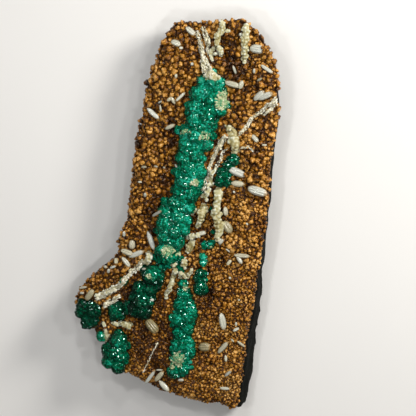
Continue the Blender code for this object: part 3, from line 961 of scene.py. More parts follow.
# %% Grow the nodules
NODULE_RADIUS = 0.00225
GRAIN_RADIUS = 0.00105
NODULE_ROOM = 0.71
GRAIN_ROOM = 0.70
NODULE_LIFT = 0.22
GRAIN_LIFT = 0.10
SIDE_LIFT = 0.1
# Painted shade: the grains in the gaps between the nodules are coloured darker.
GAP_GRAIN_PAINTED_SHADE = 0.6
NODULE_TILT = 0.30
FINE_START = 140
FINE_SPAN = 220
COARSEST = 1.22
FINER = 0.48
PATCHINESS = 0.28
PATCH_SCALE = 50
PATCH_LEVEL = 0.7
# Painted shade: how much darker the tone gets in shade ovals and hollows, and in clefts.
SHADE_DIM = 0.9
CLEFT_PAINTED_SHADE = 0.5
TRIES = 60000
CRUST_FOOT = 0.0293
REGIONS = {
    "top": (0.105, 1.0), "upper": (0.030, 0.105), "middle": (-0.045, 0.030), "lower": (-0.105, -0.045),
    "foot": (-1.0, -0.105),
}


def nodule_size(place):
    """Radius by region: finer toward the foot and the right edge, with some random spread."""
    across, down = pixel_of(place)
    if hole_at(across, down) or (round(across), round(down)) in covered:
        return 0
    fine = min(1.0, max(0.0, (down - FINE_START) / FINE_SPAN))
    share = COARSEST - FINER * fine + PATCHINESS * patchy(place, PATCH_SCALE, PATCH_LEVEL)
    return NODULE_RADIUS * share * chance.uniform(0.68, 1.30)


def grain_size(place):
    return 0 if hole_at(*pixel_of(place)) else GRAIN_RADIUS * chance.uniform(0.7, 1.3)


def nodule_spots(grown, count, lift, dim=1.0):
    """Spots for nodules: lifted less on the sides. Their tone holds painted shade in hollows, shade ovals
    and clefts, and painted light in the light ovals.
    """
    spots = []
    for place, normal, size in grown:
        wide = size * chance.uniform(0.85, 1.15)
        turn = turned(normal, NODULE_TILT)
        turn = turn @ Matrix.Diagonal((wide, size * size / wide, size * chance.uniform(0.85, 1.2)))
        rise = size * lift * (1.0 if normal.z > 0.5 else SIDE_LIFT)
        pixel = pixel_of(place)
        # Painted shade darkens nodules in hollows, shade ovals and clefts; the light ovals add painted
        # light.
        shade = max(hollow_at(*pixel, HOLLOWS), hollow_at(*pixel, PAINTED_SHADE_OVALS)) + CLEFT_PAINTED_SHADE * clump_at(place)
        tone = chance.uniform(0.25, 1.0) * dim - SHADE_DIM * shade + hollow_at(*pixel, PAINTED_LIGHT_AND_PALE_OVALS)
        spots.append((chance.randrange(count), place + normal * rise, turn, tone))
    return spots


def grow_region(name, shapes, grown, region, lift, dim=1.0):
    """One piece of the crust: the nodules or grains of one region."""
    low, high = REGIONS[region]
    here = [spot for spot in grown if low <= spot[0].y < high]
    piece = stamp(f"{name}_{region}", shapes, nodule_spots(here, len(shapes), lift, dim), "nodule", True)
    finish_piece(piece, "crust")
    return piece


crowded = {}
big = scatter(bed, TRIES, nodule_size, NODULE_ROOM, crowded, CRUST_FOOT)
small = scatter(bed, TRIES, grain_size, GRAIN_ROOM, crowded, CRUST_FOOT)
crust_pieces = [bed]
for region in REGIONS:
    crust_pieces.append(grow_region("nodules", nodules, big, region, NODULE_LIFT))
    grow_region("grains", grains, small, region, GRAIN_LIFT, GAP_GRAIN_PAINTED_SHADE)

# %% [markdown]
# ## Apophyllite crystals
#
# Apophyllite grows as square prisms with pointed or flat ends. One crystal is a cube whose top is
# extruded and narrowed. Only the few large clear ones have bevelled edges, which catch the light.

# %% Model the crystals
def draw_out(shape, way, reach, narrow):
    """Extrudes the faces that look this way by reach, then scales their end by narrow."""
    bpy.ops.object.mode_set(mode="EDIT")
    bpy.ops.mesh.select_mode(type="FACE")
    bpy.ops.mesh.select_all(action="DESELECT")
    leave_edit()
    far = max(face.center.dot(way) for face in shape.data.polygons)
    for face in shape.data.polygons:
        face.select = face.center.dot(way) > far - 0.001 and face.normal.dot(way) > 0.5
    bpy.ops.object.mode_set(mode="EDIT")
    bpy.ops.mesh.extrude_region_move(TRANSFORM_OT_translate={"value": way * reach})
    bpy.ops.transform.resize(value=narrow, center_override=way * (far + reach))
    leave_edit()


def crystal_shape(name, tip, shoulder, edge):
    start()
    bpy.ops.mesh.primitive_cube_add(size=2)
    shape = template(name)
    draw_out(shape, Vector((0, 0, 1)), tip, (shoulder, shoulder, 1))
    edit_all()
    if edge:
        bpy.ops.mesh.bevel(offset=edge, segments=1, affect="EDGES")
    leave_edit()
    return shape


crystals = [
    crystal_shape("pointed_crystal", 0.70, 0.16, 0),
    crystal_shape("blocky_crystal", 0.35, 0.62, 0),
    crystal_shape("steep_crystal", 0.95, 0.24, 0),
    crystal_shape("blunt_crystal", 0.50, 0.45, 0),
]
clear_crystals = [
    crystal_shape("clear_crystal", 0.40, 0.60, 0.20),
    crystal_shape("glinting_crystal", 0.22, 0.80, 0.10),
]
print("crystal faces:", [len(shape.data.polygons) for shape in crystals + clear_crystals])

# %% [markdown]
# ## Green patches
#
# Each patch is a row of domes, and in each dome the crystals radiate from one point. The heart of a
# patch is its solid, pressed in, with round lumps grown on it by a voxel remesh. Crystals cover the
# heart closely and lean a little away from its normals, and smaller ones fill the gaps.

# %% Places of domes and lumps
DOME_SHARE = 0.86
DOME_TOP = 0.0004
OVER_CRUST = 0.0028
LUMP_RADIUS = 0.0030
LUMP_TRIES = 3000
LUMP_ROOM = 0.70
LUMP_DEEP = 0.45
SIDE_DEEP = 0.80

start()
bpy.ops.mesh.primitive_ico_sphere_add(subdivisions=3, radius=1)
ball = template("ball_pattern")


def first_hit(trees, across, down):
    """The nearest place and normal on any of these trees in the line of sight through a pixel."""
    best = (None, None)
    nearest = 1e9
    for tree in trees:
        place, normal, _, far = tree.ray_cast(eye, sight(across, down))
        if place is not None and far < nearest:
            best, nearest = (place, normal), far
    return best


def tree_of(thing):
    return BVHTree.FromObject(thing, bpy.context.evaluated_depsgraph_get())


def sized(radius, least, most):
    """A size for scatter that is the same all over: the radius times a random share."""
    return lambda place: radius * chance.uniform(least, most)


def ball_spot(place, reach):
    return 0, place, Matrix.Diagonal((reach, reach, reach)), 0.5


def dome_spots(domes, trees, lift=0.0):
    """A ball under each dome's pixel, its top level with the surface there, or above the crust."""
    spots = []
    for across, down, radius in domes:
        place = first_hit(trees, across, down)[0]
        if place is None:
            place = first_hit(under, across, down)[0] + toward * OVER_CRUST
        place = place + toward * lift
        reach = radius * PIXEL * DOME_SHARE
        spots.append(ball_spot(place - toward * (reach - DOME_TOP), reach))
    return spots


def lump_spots(heart, small):
    """Small lumps between the domes."""
    spots = []
    size_at = sized(LUMP_RADIUS, 0.65, 1.25)
    for place, normal, size in scatter(heart, LUMP_TRIES, size_at, LUMP_ROOM, {}, SEAT):
        size *= small
        deep = LUMP_DEEP if normal.z > 0.5 else SIDE_DEEP
        spots.append(ball_spot(place - normal * size * deep, size))
    return spots


under = [tree_of(thing) for thing in crust_pieces]

# %% Dark hearts with domes
HEART_VOXEL = 0.0010
PATCH_PRESS = 0.0042
VEIN_PRESS = 0.0026
THINNEST_FULL = 0.009


def remesh_heart(heart):
    apply(heart, "REMESH", mode="VOXEL", voxel_size=HEART_VOXEL)
    heart.data.shade_smooth()
    finish_piece(heart, "green_crystal")


def join_and_remesh(heart, domes):
    start()
    domes.select_set(True)
    heart.select_set(True)
    bpy.context.view_layer.objects.active = heart
    bpy.ops.object.join()
    remesh_heart(heart)


def make_heart(node):
    """The dark inside of a patch. Thin patches are pressed in less and have smaller lumps."""
    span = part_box(node)
    small = min(1.0, min(span[1] - span[0]) / THINNEST_FULL)
    heart = copy_of(node, node + "_heart", "heart")
    apply(heart, "SUBSURF", levels=1, render_levels=1)
    whole = tree_of(heart)
    press = VEIN_PRESS if node.endswith("main_vein") else PATCH_PRESS
    apply(heart, "DISPLACE", strength=-press * small * small, mid_level=0.0)
    spots = dome_spots(DOMES[node.replace("apophyllite_", "")], [whole]) + lump_spots(heart, small)
    join_and_remesh(heart, stamp(node + "_domes", [ball], spots, "heart", True))
    return heart


# %% [markdown]
# ### Cream patches
#
# Cream crust covers parts of the green. Where a crystal's place falls in one of these ovals, read from
# the photograph as centre and half widths in pixels, a cream grain grows instead.

# %% Where the cream lies
RAGGED = 0.45
RAGGED_SCALE = 0.35
RAGGED_LEVEL = 3.1
STRAYING = 0.5
CREAM_OVALS = [
    (222, 101, 7.5, 11), (224, 116, 4, 6), (185.5, 131.5, 5, 2.5), (204, 135.5, 6.5, 4.5),
    (194.5, 182.5, 5, 4), (213, 77, 9, 4), (167, 251, 7, 6.5), (179, 253.5, 5, 2.5), (149.5, 276, 3.5, 3),
    (212.5, 250, 3.5, 4), (208.5, 261, 2.5, 7), (106, 335, 3.5, 7), (185, 287, 2.5, 4), (178, 359, 7, 8),
    (172, 365, 3, 4), (208, 68, 6, 9),
]
GREEN_SPOTS = [(204, 134, 1.6), (223, 113, 2.5), (217, 110, 2.0)]


def cream_at(place):
    """Whether a place lies in a cream oval, with a ragged edge."""
    across, down = pixel_of(place)
    ragged = 1 + RAGGED * noise.noise(Vector((across * RAGGED_SCALE, down * RAGGED_SCALE, RAGGED_LEVEL)))
    ragged -= STRAYING * chance.random() ** 3
    if any(math.hypot(across - x, down - y) < radius for x, y, radius in GREEN_SPOTS):
        return False
    return any(math.hypot((across - x) / a, (down - y) / b) < ragged for x, y, a, b in CREAM_OVALS)


# %% [markdown]
# ### How bright each patch is
#
# The upper vein is a clear mid green and the patches at the left foot are nearly black. A patch has one
# tone, and ovals read from the photograph brighten some parts of it with painted light and dim others.

# %% Sizes and tones of the crystals
CRYSTAL_WIDTH = 0.0010
SMALL_WIDTH = 0.00065
CREAM_RADIUS = 0.0012
CRYSTAL_ROOM = 0.62
SMALL_ROOM = 0.66
CRYSTAL_LIFT = -0.35
CREAM_LIFT = 0.3
CRYSTAL_TILT = 0.34
TONE_SPREAD = 0.24
FACING_LIGHT_GAIN = 0.40
FACING_MEAN = 0.80
BRIGHT = {"main_vein": 0.57, "left_mass": 0.15, "foot": 0.31, "far_left": 0.18, "left_knob": 0.20,
          "lower_right": 0.36, "lower_chain": 0.54, "right_cluster": 0.33, "foot_bud": 0.62, "vein_bud": 0.6,
          "right_bud": 0.52, "right_oval": 0.78}
# Painted light: these ovals brighten the crystals where the domes are lit.
GREEN_PAINTED_LIGHT_OVALS = [(155, 273, 13, 11, 0.42), (119, 345, 8, 12, 0.12), (206, 145, 6, 7, 0.15)]
DIM_OVALS = [(176, 373, 10, 7, 0.28), (184, 312, 9, 16, 0.05), (127, 307, 11, 11, 0.45)]


def crystal_spots(grown, count, lift, bright):
    """Spots for crystals. Those that face the camera's side of a dome are painted brighter than its flanks,
    as painted light and shade.
    """
    spots = []
    for place, normal, size in grown:
        stretch = Matrix.Diagonal((size, size * chance.uniform(0.85, 1.15), size * chance.uniform(0.9, 1.2)))
        # Painted light and shade: crystals facing the camera are brighter, those on the flanks darker.
        facing_light = FACING_LIGHT_GAIN * (normal.dot(toward) - FACING_MEAN)
        lit = hollow_at(*pixel_of(place), GREEN_PAINTED_LIGHT_OVALS) - hollow_at(*pixel_of(place), DIM_OVALS)
        tone = bright + lit + facing_light + chance.uniform(-TONE_SPREAD, TONE_SPREAD)
        kind = chance.randrange(count)
        spots.append((kind, place + normal * size * lift, turned(normal, CRYSTAL_TILT) @ stretch, tone))
    return spots


# %% Grow the green patches
TRIES_PER_AREA = 1.6e7
LEAST_TRIES = 800
CRYSTAL_FOOT = SEAT - 0.001


def grow_patch(name, heart, bright, *replaced):
    """Crystals over a heart, and cream grains where it is crusted."""
    span = heart.dimensions
    tries = int(span.x * span.y * TRIES_PER_AREA) + LEAST_TRIES
    used = {}
    grown = scatter(heart, tries, sized(CRYSTAL_WIDTH, 0.65, 1.35), CRYSTAL_ROOM, used, CRYSTAL_FOOT)
    grown += scatter(heart, tries, sized(SMALL_WIDTH, 0.7, 1.2), SMALL_ROOM, used, CRYSTAL_FOOT)
    green, cream = [], []
    for place, normal, size in grown:
        if cream_at(place):
            cream.append((place, normal, CREAM_RADIUS * chance.uniform(0.6, 1.2)))
        else:
            green.append((place, normal, size))
    green = crystal_spots(green, len(crystals), CRYSTAL_LIFT, bright)
    finish_piece(stamp(name + "_crystals", crystals, green, "green", False), "green_crystal", *replaced)
    if cream:
        crust = stamp(name + "_cream", grains, nodule_spots(cream, len(grains), CREAM_LIFT), "stained", True)
        finish_piece(crust, "cream_stalk")


hearts = []
for node in sorted(nodes):
    if node.startswith("apophyllite_"):
        hearts.append(make_heart(node))
        grow_patch(node, hearts[-1], BRIGHT[node.replace("apophyllite_", "")], node)

# %% [markdown]
# ### Bridges between the patches
#
# The patches have run together in places, where the frame keeps them as solids of their own. A few
# small domes, grown with crystals in the same way, close the gaps between them.

# %% Grow the bridges
BRIDGE_RISE = 0.0022
BRIDGE_BRIGHT = 0.5
BRIDGES = [
    (176, 262, 4.5), (170, 264, 5), (163, 267, 5), (158, 266, 4.5), (181, 259, 3.5), (180, 268, 3.5),
    (182, 273, 2.2), (154, 257, 3), (157, 251, 3), (213, 241.5, 3), (206, 243, 3.5), (189, 361, 3.5),
    (191, 366, 3.5), (204.5, 246, 3), (222, 177, 3.5), (192, 355.5, 2.5), (213, 232, 2), (211, 208, 2.5),
    (127, 310, 4.5), (128, 304, 4), (124, 307, 4),
]
bridge = stamp("green_bridges_heart", [ball], dome_spots(BRIDGES, under, BRIDGE_RISE), "heart", True)
remesh_heart(bridge)
grow_patch("green_bridges", bridge, BRIDGE_BRIGHT)
hearts.append(bridge)

# %% [markdown]
# ### Clear crystals that glint
#
# A few larger crystals stand out of the patches, and their flat ends flash in the key light. Their
# places, sizes and tones are read from the photograph. A flash needs its face halfway between the
# camera and the light, so each glinting crystal leans that way.

# %% Lay the clear crystals
CLEAR_RISE = 0.0012
CLEAR_SINK = 0.2
CLEAR_FLAT = 0.8
CLEAR_TILT = 0.20
CLEAR_BRIGHTER = 0.1
GLINT_TOP = 0.0025
GLINT_FLAT = 0.75
GLINT_TILT = 0.02
GLINT_TONE = 0.8
CLEAR_CRYSTALS = [
    (201.5, 80.5, 6.5, 0.60), (212, 83, 7.0, 0.62), (214, 71, 4.5, 0.70), (207, 145, 6.5, 0.58),
    (216, 88, 4, 0.6), (206, 92, 4, 0.7), (186, 134, 4, 0.6), (200, 153, 4, 0.62), (167, 206, 4, 0.6),
    (160, 267, 4.5, 0.62), (148, 289, 5, 0.40), (140, 304, 6, 0.30), (150, 303, 6, 0.32),
    (187, 354, 4, 0.74), (190, 362, 4.5, 0.74), (190, 367, 4, 0.70), (122, 281, 4.5, 0.66),
    (101, 336, 4, 0.66), (172, 372, 4, 0.74), (178, 376, 3.5, 0.70),
]
GLINTS = [
    (208.8, 114.4, 1.8), (210.8, 118.8, 1.5), (194.3, 125.3, 1.4), (197, 116.2, 1.6), (190.2, 152.8, 1.4),
    (190.7, 166.4, 1.6), (185, 171.2, 1.5), (180.7, 177.3, 1.9), (179.8, 185.4, 1.6), (181.2, 194.7, 1.8),
    (187.5, 144.7, 1.6), (184.8, 160.5, 1.4), (196, 104, 1.6), (201.5, 162.3, 1.2), (210, 98.6, 1.5),
    (209.3, 110, 1.4), (216, 110, 1.4), (155, 273.5, 2.4), (143.8, 298.5, 2.4), (138.2, 296.2, 1.8),
    (154.5, 283.1, 1.6), (139.2, 286.5, 1.6), (120, 309.5, 1.6), (123, 303.8, 1.6), (188.8, 302.7, 1.8),
    (193, 307.3, 1.8), (180.9, 311.2, 2.4), (184.9, 314.6, 1.6), (170.7, 317.7, 1.4), (181.5, 323.8, 1.7),
    (183.8, 336.5, 1.6), (123.4, 339.2, 1.8), (118.8, 340.4, 1.6), (117.3, 350.5, 2.4), (118, 356.6, 1.9),
    (113, 354.4, 1.5), (228, 165, 1.9), (170, 220, 1.5), (165, 232, 1.4), (178, 225, 1.4), (92, 303, 1.8),
    (200.5, 285, 2.0), (181.5, 351, 1.5), (170, 208, 1.3), (174, 212.5, 1.2), (169, 212, 1.2),
    (178.5, 209, 1.3), (165.7, 218, 1.2), (176.3, 231.8, 1.3), (186.5, 215.7, 1.1), (180.6, 167.7, 1.2),
    (184.5, 184, 1.3), (192.7, 165, 1.2), (158, 228.2, 1.2), (173, 223.5, 1.1), (181, 236, 1.2),
    (168, 240, 1.1), (203, 104, 1.3), (205, 120, 1.2), (199.5, 127, 1.3), (193, 139, 1.2), (187, 151, 1.2),
    (194, 173, 1.1), (186, 178, 1.2),
]
half_way = (toward + (KEY_PLACE - SEAT * toward).normalized()).normalized()
hard_ground = [tree_of(thing) for thing in hearts]
spots = []
for across, down, wide, tone in CLEAR_CRYSTALS:
    place, normal = first_hit(hard_ground, across, down)
    if place:
        half = wide * PIXEL / 2
        turn = turned((normal + toward).normalized(), CLEAR_TILT)
        turn = turn @ Matrix.Diagonal((half, half * CLEAR_FLAT, half * CLEAR_FLAT))
        spots.append((0, place + toward * (CLEAR_RISE - half * CLEAR_SINK), turn, tone + CLEAR_BRIGHTER))
for across, down, wide in GLINTS:
    place, normal = first_hit(hard_ground, across, down)
    if place:
        half = wide * PIXEL / 2
        turn = turned(half_way, GLINT_TILT) @ Matrix.Diagonal((half, half * GLINT_FLAT, half))
        spots.append((1, place + toward * (GLINT_TOP - half), turn, GLINT_TONE))
clear = stamp("clear_crystals", clear_crystals, spots, "clear", False)
finish_piece(clear, "green_crystal")

# %% [markdown]
# ## Ground for what lies on top
#
# Blades, stalks and veins lie on the nodules or on the green patches. Search trees of both give the
# place where the line of sight through a pixel first meets them.

# %% Find the ground under a pixel
ground = [tree_of(thing) for thing in crust_pieces + hearts]


def spot(across, down):
    """The place and normal that a pixel shows, or None beside the slab."""
    place, normal = first_hit(ground, across, down)
    return None if place is None else (place, normal)


print("ground under pixel 200, 150:", spot(200, 150)[0])

# %% [markdown]
# ## Cream stalks and veins
#
# The stalks are cream crusts grown round something that has gone: knobbly, like stacked discs. Their
# solids give course and size. A dressed stalk keeps its solid as a slimmer core and stacks flattened
# knobs along it. Veins are fibrous, so they get short fibres that lie along them.

# %% Slimmer cores
CORE_PRESS = {"stalk": 0.0009, "strand": 0.0007, "vein": 0.0008}
CORE_CROWN = 0.45

cores = []
for node in sorted(nodes):
    kind = node.split("_")[0]
    if kind in CORE_PRESS:
        core = copy_of(node, node + "_core", "cream")
        apply(core, "SUBSURF", levels=2, render_levels=2)
        apply(core, "DISPLACE", strength=-CORE_PRESS[kind], mid_level=0.0)
        core.data.shade_smooth()
        store(core.data, "crown", [CORE_CROWN] * len(core.data.vertices))
        finish_piece(core, "cream_stalk", node)
        cores.append(core)

ground += [tree_of(core) for core in cores]
print(len(cores), "cores")

# %% Lumps along the stalks
STALK_VOXEL = 0.0006
STALK_PITCH = 0.42
STALK_RISE = 0.0028
BAND_PITCH = 0.13
BAND_RISE = 0.0024
BAND_HUMP = 0.24
KNOB_HIGH = 0.85
KNOB_SPIN = 0.5


def lump(across, down, way, half, length, rise):
    """One lump on the ground under a pixel: half its width, its length and how far it stands out."""
    found = spot(across, down)
    if not found:
        return []
    side = toward.cross(way).normalized()
    shape = Matrix((way * length, side * half, toward * half * KNOB_HIGH)).transposed()
    turn = Matrix.Rotation(chance.gauss(0, KNOB_SPIN), 3, toward) @ shape
    return [(chance.randrange(len(nodules)), found[0] + toward * rise, turn, chance.uniform(0.1, 1))]


def mean_width(stations):
    return sum(station[2] for station in stations) / len(stations)


def beside(across, down, way, off):
    """The pixel that lies this far beside a line that runs this way."""
    side = toward.cross(way).normalized()
    return across + side.dot(right) * off, down - side.dot(above) * off


def stalk_lumps(stations):
    """Lumps one behind the other, as wide as the line, each a little askew."""
    spots = []
    for across, down, way, wide in along_line(stations, STALK_PITCH * mean_width(stations)):
        half = wide * PIXEL / 2 * chance.uniform(0.84, 1.08)
        aside = chance.uniform(-0.10, 0.10) * wide
        length = half * chance.uniform(0.8, 1.1)
        spots += lump(across + aside, down, way, half, length, STALK_RISE - half * 0.30)
    return spots


def band_lumps(stations):
    """Many small lumps across the whole width of the line, higher in the middle."""
    spots = []
    for across, down, way, wide in along_line(stations, BAND_PITCH * mean_width(stations)):
        share = chance.uniform(-0.36, 0.36)
        half = wide * PIXEL * chance.uniform(0.14, 0.24)
        x, y = beside(across, down, way, share * wide)
        rise = BAND_RISE + wide * PIXEL * BAND_HUMP * (1 - (share / 0.4) ** 2)
        spots += lump(x, y, way, half, half * chance.uniform(0.9, 1.3), rise - half * 0.4)
    return spots


# %% Crowns of a grown body
CROWN_GAIN = 5200


def neighbour_mean(values, ends, times):
    """The mean of each vertex's neighbours."""
    total = np.zeros_like(values)
    for one, other in ends:
        np.add.at(total, one, values[other])
    return total / times


def store_crown(thing):
    """Stores how far each vertex stands out beside its neighbours: high on crowns, low in creases."""
    mesh = thing.data
    count = len(mesh.vertices)
    places, normals = np.empty(count * 3), np.empty(count * 3)
    mesh.vertices.foreach_get("co", places)
    mesh.vertex_normals.foreach_get("vector", normals)
    pairs = np.empty(len(mesh.edges) * 2, dtype=np.int64)
    mesh.edges.foreach_get("vertices", pairs)
    first, second = pairs.reshape(-1, 2).T
    ends = ((first, second), (second, first))
    times = np.bincount(pairs, minlength=count)
    places = places.reshape(-1, 3)
    height = ((places - neighbour_mean(places, ends, times[:, None])) * normals.reshape(-1, 3)).sum(axis=1)
    for _ in range(3):
        height = (height + neighbour_mean(height, ends, times)) / 2
    store(mesh, "crown", np.clip(0.5 + height * CROWN_GAIN, 0, 1))


# %% Grow the stalks and bands
def grow_together(name, spots):
    """Joins the lumps in one body and finishes it."""
    body = stamp(name, nodules, spots, "cream", True)
    apply(body, "REMESH", mode="VOXEL", voxel_size=STALK_VOXEL)
    body.data.shade_smooth()
    store_crown(body)
    finish_piece(body, "cream_stalk")


for name, stations in STALK_LINES.items():
    grow_together(f"stalk_{name}", stalk_lumps(stations))
for name, stations in BAND_LINES.items():
    grow_together(f"band_{name}", band_lumps(stations))

# %% Lay fibres along the veins
FIBRE_LENGTH = 0.0017
FIBRE_WIDTH = 0.00055
FIBRE_PITCH = 0.55
FIBRE_RISE = 0.0004
FIBRE_HUMP = 0.16
FIBRE_SPIN = 0.35
FIBRES_PER_PIXEL = 0.55
THINNEST = 0.20
THICKER = 0.30
OVER_STALK = 0.0034


def fibres(stations):
    """Short fibres along a vein, higher in its middle and thinner where it is narrow."""
    spots = []
    for across, down, way, wide in along_line(stations, FIBRE_PITCH):
        side = toward.cross(way).normalized()
        for _ in range(max(1, round(wide * FIBRES_PER_PIXEL))):
            off = chance.uniform(-0.5, 0.5) * wide
            x, y = beside(across, down, way, off)
            x, y = x + chance.uniform(-0.4, 0.4), y + chance.uniform(-0.4, 0.4)
            found = spot(x, y)
            if not found:
                continue
            hump = FIBRE_RISE + math.sqrt(1 - (2 * off / wide) ** 2) * wide * PIXEL * FIBRE_HUMP
            hump += OVER_STALK if (round(x), round(y)) in covered else 0
            thick = FIBRE_WIDTH * chance.uniform(0.7, 1.4) * min(1, THINNEST + THICKER * wide)
            length = FIBRE_LENGTH * chance.uniform(0.5, 1.2)
            shape = Matrix((way * length, side * thick, toward * thick)).transposed()
            turn = Matrix.Rotation(chance.gauss(0, FIBRE_SPIN), 3, toward) @ shape
            kind = chance.randrange(len(grains))
            spots.append((kind, found[0] + toward * hump, turn, chance.random()))
    return spots


for name, stations in VEIN_LINES.items():
    piece = stamp(f"vein_fibres_{name}", grains, fibres(stations), "fibre", True)
    finish_piece(piece, "cream_stalk")

# %% [markdown]
# ## Stilbite blades
#
# A stilbite blade is a smooth tablet, rounded at its ends like a grain of rice, with shallow ribs along
# its back where thinner plates grew side by side. The body is a cube whose ends are drawn out and
# narrowed in steps and then subdivided, and the ribs are slimmer copies of it that just stand out.

# %% Model the blades
END_STEPS = [(0.32, 0.82, 0.15, 0.90), (0.26, 0.50, 0.45, 0.70), (0.17, 0.0, 1.0, 0.45)]


def plate(length, width, thick, aside, rise, spin, tip, levels):
    """A long tablet with drawn-out ends; rise lifts it, aside and spin place it in the blade."""
    start()
    bpy.ops.mesh.primitive_cube_add(size=2)
    shape = bpy.context.object
    bpy.ops.object.mode_set(mode="EDIT")
    bpy.ops.transform.resize(value=(0.30 * length, width, thick), center_override=(0, 0, 0))
    for way in (Vector((1, 0, 0)), Vector((-1, 0, 0))):
        for reach, wide, blunt, thin in END_STEPS:
            draw_out(shape, way, reach * length, (1, wide + blunt * tip, thin))
    apply(shape, "SUBSURF", levels=levels, render_levels=levels)
    edit_all()
    bpy.ops.transform.rotate(value=spin, orient_axis="Z", center_override=(0, 0, 0))
    bpy.ops.transform.translate(value=(chance.uniform(-0.04, 0.04), aside, rise))
    leave_edit()
    return shape


def blade_shape(name, ribs, tip, fan, stagger, levels=2):
    """A smooth body with shallow ribs along its back."""
    plates = [plate(1.0, 1.15, 1.0, 0, 0, 0, tip, levels)]
    for i in range(ribs):
        aside = (i - (ribs - 1) / 2) / ribs * 1.5
        length = 0.98 - stagger * abs(aside) * chance.uniform(0.6, 1.3)
        rise = 0.30 - 0.34 * aside * aside
        plates.append(plate(length, 1.1 / ribs, 0.9, aside, rise, -aside * fan, tip * 0.8, levels))
    start()
    for shape in plates:
        shape.select_set(True)
    bpy.context.view_layer.objects.active = plates[0]
    bpy.ops.object.join()
    bpy.context.object.data.shade_smooth()
    return template(name)


blades = [
    blade_shape("pointed_blade", 1, 0.12, 0.0, 0.3),
    blade_shape("ribbed_blade", 2, 0.22, 0.05, 0.4),
    blade_shape("blunt_blade", 3, 0.48, 0.0, 0.5),
    blade_shape("fanned_blade", 3, 0.55, 0.22, 0.3),
]
small_blades = [
    blade_shape("small_pointed_blade", 1, 0.12, 0.0, 0.3, 1),
    blade_shape("small_ribbed_blade", 2, 0.35, 0.03, 0.3, 1),
    blade_shape("small_blunt_blade", 2, 0.62, 0.0, 0.2, 1),
]
print("blade faces:", [len(shape.data.polygons) for shape in blades + small_blades])

# %% [markdown]
# ## Placing the blades
#
# A blade is given by the pixels of its two ends and its width in pixels. Blades with a solid lie where
# it lies and replace it. A few blades are plainly duller or brighter than the rest, so they have a
# tone of their own.

# %% Blades with solids
POINTED, RIBBED, BLUNT, FANNED = range(4)
BLADE_THICK = 0.34
END_DROP = 0.0008
BLADE_ENDS = {
    1: [(186, 27, 195, 35, 5.5, RIBBED)],
    2: [(171, 41, 181, 45, 6, RIBBED)],
    3: [(147, 108, 159, 119, 4.8, POINTED)],
    4: [(165, 129, 175, 124.5, 4, POINTED)],
    5: [(225, 82, 240, 86.5, 5.5, BLUNT), (242.5, 80.5, 239.5, 89, 5, POINTED)],
    6: [(254, 100, 264, 91, 6, RIBBED), (258, 99, 272, 93, 6, BLUNT)],
    7: [(261, 65, 272.5, 73, 3.6, BLUNT)],
    8: [(250, 48, 264, 50, 8.5, BLUNT)],
    9: [(252, 135, 258, 142, 4.6, BLUNT)],
    10: [(228, 168, 245.5, 176, 7.5, RIBBED)],
    11: [(231, 183, 244.5, 184.5, 6, POINTED)],
    12: [(248, 188, 266.5, 194, 8.5, BLUNT)],
    13: [(224, 221, 231, 233, 8, RIBBED)],
    14: [(147.5, 231, 154, 250, 5.2, POINTED)],
    15: [(121, 250, 133, 254.5, 5.5, RIBBED), (129, 257, 144, 251, 5.2, POINTED)],
    16: [(132, 240, 132, 249, 6, BLUNT)],
    17: [(122, 257, 130, 267, 4.6, RIBBED)],
    18: [(93, 290, 86, 300, 6, FANNED)],
    19: [(234, 255, 250, 256.5, 4.2, RIBBED), (236.5, 255, 242, 264, 4, POINTED)],
    20: [(221, 313, 224, 330, 6.5, RIBBED)],
    21: [(218, 353, 228, 342, 4.8, RIBBED)],
    22: [(199, 347, 210, 347, 8.5, BLUNT)],
    23: [(147, 320, 157, 332.5, 9, FANNED)],
    24: [(145, 384, 155, 370.5, 3.6, POINTED)],
    25: [(155, 381, 163.5, 371.5, 5, RIBBED)],
    26: [(159, 380.5, 169, 391.5, 5.2, POINTED)],
    27: [(219.5, 388, 230, 389, 3.2, POINTED)],
}
BLADE_TONES = {8: 0.95, 13: 0.12, 14: 1.0, 18: 0.18, 22: 0.06, 23: 0.0}


def lay_blade(start_place, end_place, width, kind, tone):
    """A spot for one blade between two places, its broad side up."""
    along = end_place - start_place
    length = along.length
    along.normalize()
    side = toward.cross(along).normalized()
    up = along.cross(side)
    turn = Matrix((along * length / 2, side * width / 2, up * width * BLADE_THICK)).transposed()
    return kind, (start_place + end_place) / 2, turn, tone


for number, ends in BLADE_ENDS.items():
    node = f"stilbite_blade_{number:02d}"
    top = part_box(node)[1].z
    spots = []
    for x0, y0, x1, y1, wide, kind in ends:
        width = wide * PIXEL
        high = top - width * BLADE_THICK
        first = at_height(x0, y0, high - END_DROP)
        second = at_height(x1, y1, high)
        tone = BLADE_TONES.get(number, chance.uniform(0.3, 1))
        spots.append(lay_blade(first, second, width, kind, tone))
    piece = stamp(f"blade_{number:02d}", blades, spots, "blade", True)
    finish_piece(piece, "pale_blade", node)

# %% [markdown]
# ### Crumbs on two blades
#
# Over one end of two blades the crust has grown. A few nodules, placed by pixel, sit on the blade there.

# %% Lay the crumbs
CRUMB_SINK = 0.6
CRUMB_TILT = 0.2
CRUMB_TONE = 0.5
CRUMBS = {
    8: [(262.5, 47.5, 2.0), (264.5, 49.5, 2.2), (266, 47.5, 2.0), (267.5, 50, 2.0), (263.5, 51.5, 1.6)],
    10: [(245, 174, 1.5), (246.5, 176, 1.7)],
}

spots = []
for number, crumbs in CRUMBS.items():
    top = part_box(f"stilbite_blade_{number:02d}")[1].z
    for across, down, wide in crumbs:
        reach = wide * PIXEL
        turn = turned(toward, CRUMB_TILT) @ Matrix.Diagonal((reach, reach, reach))
        place = at_height(across, down, top - reach * CRUMB_SINK)
        spots.append((chance.randrange(len(nodules)), place, turn, CRUMB_TONE))
finish_piece(stamp("blade_crumbs", nodules, spots, "nodule", True), "crust")

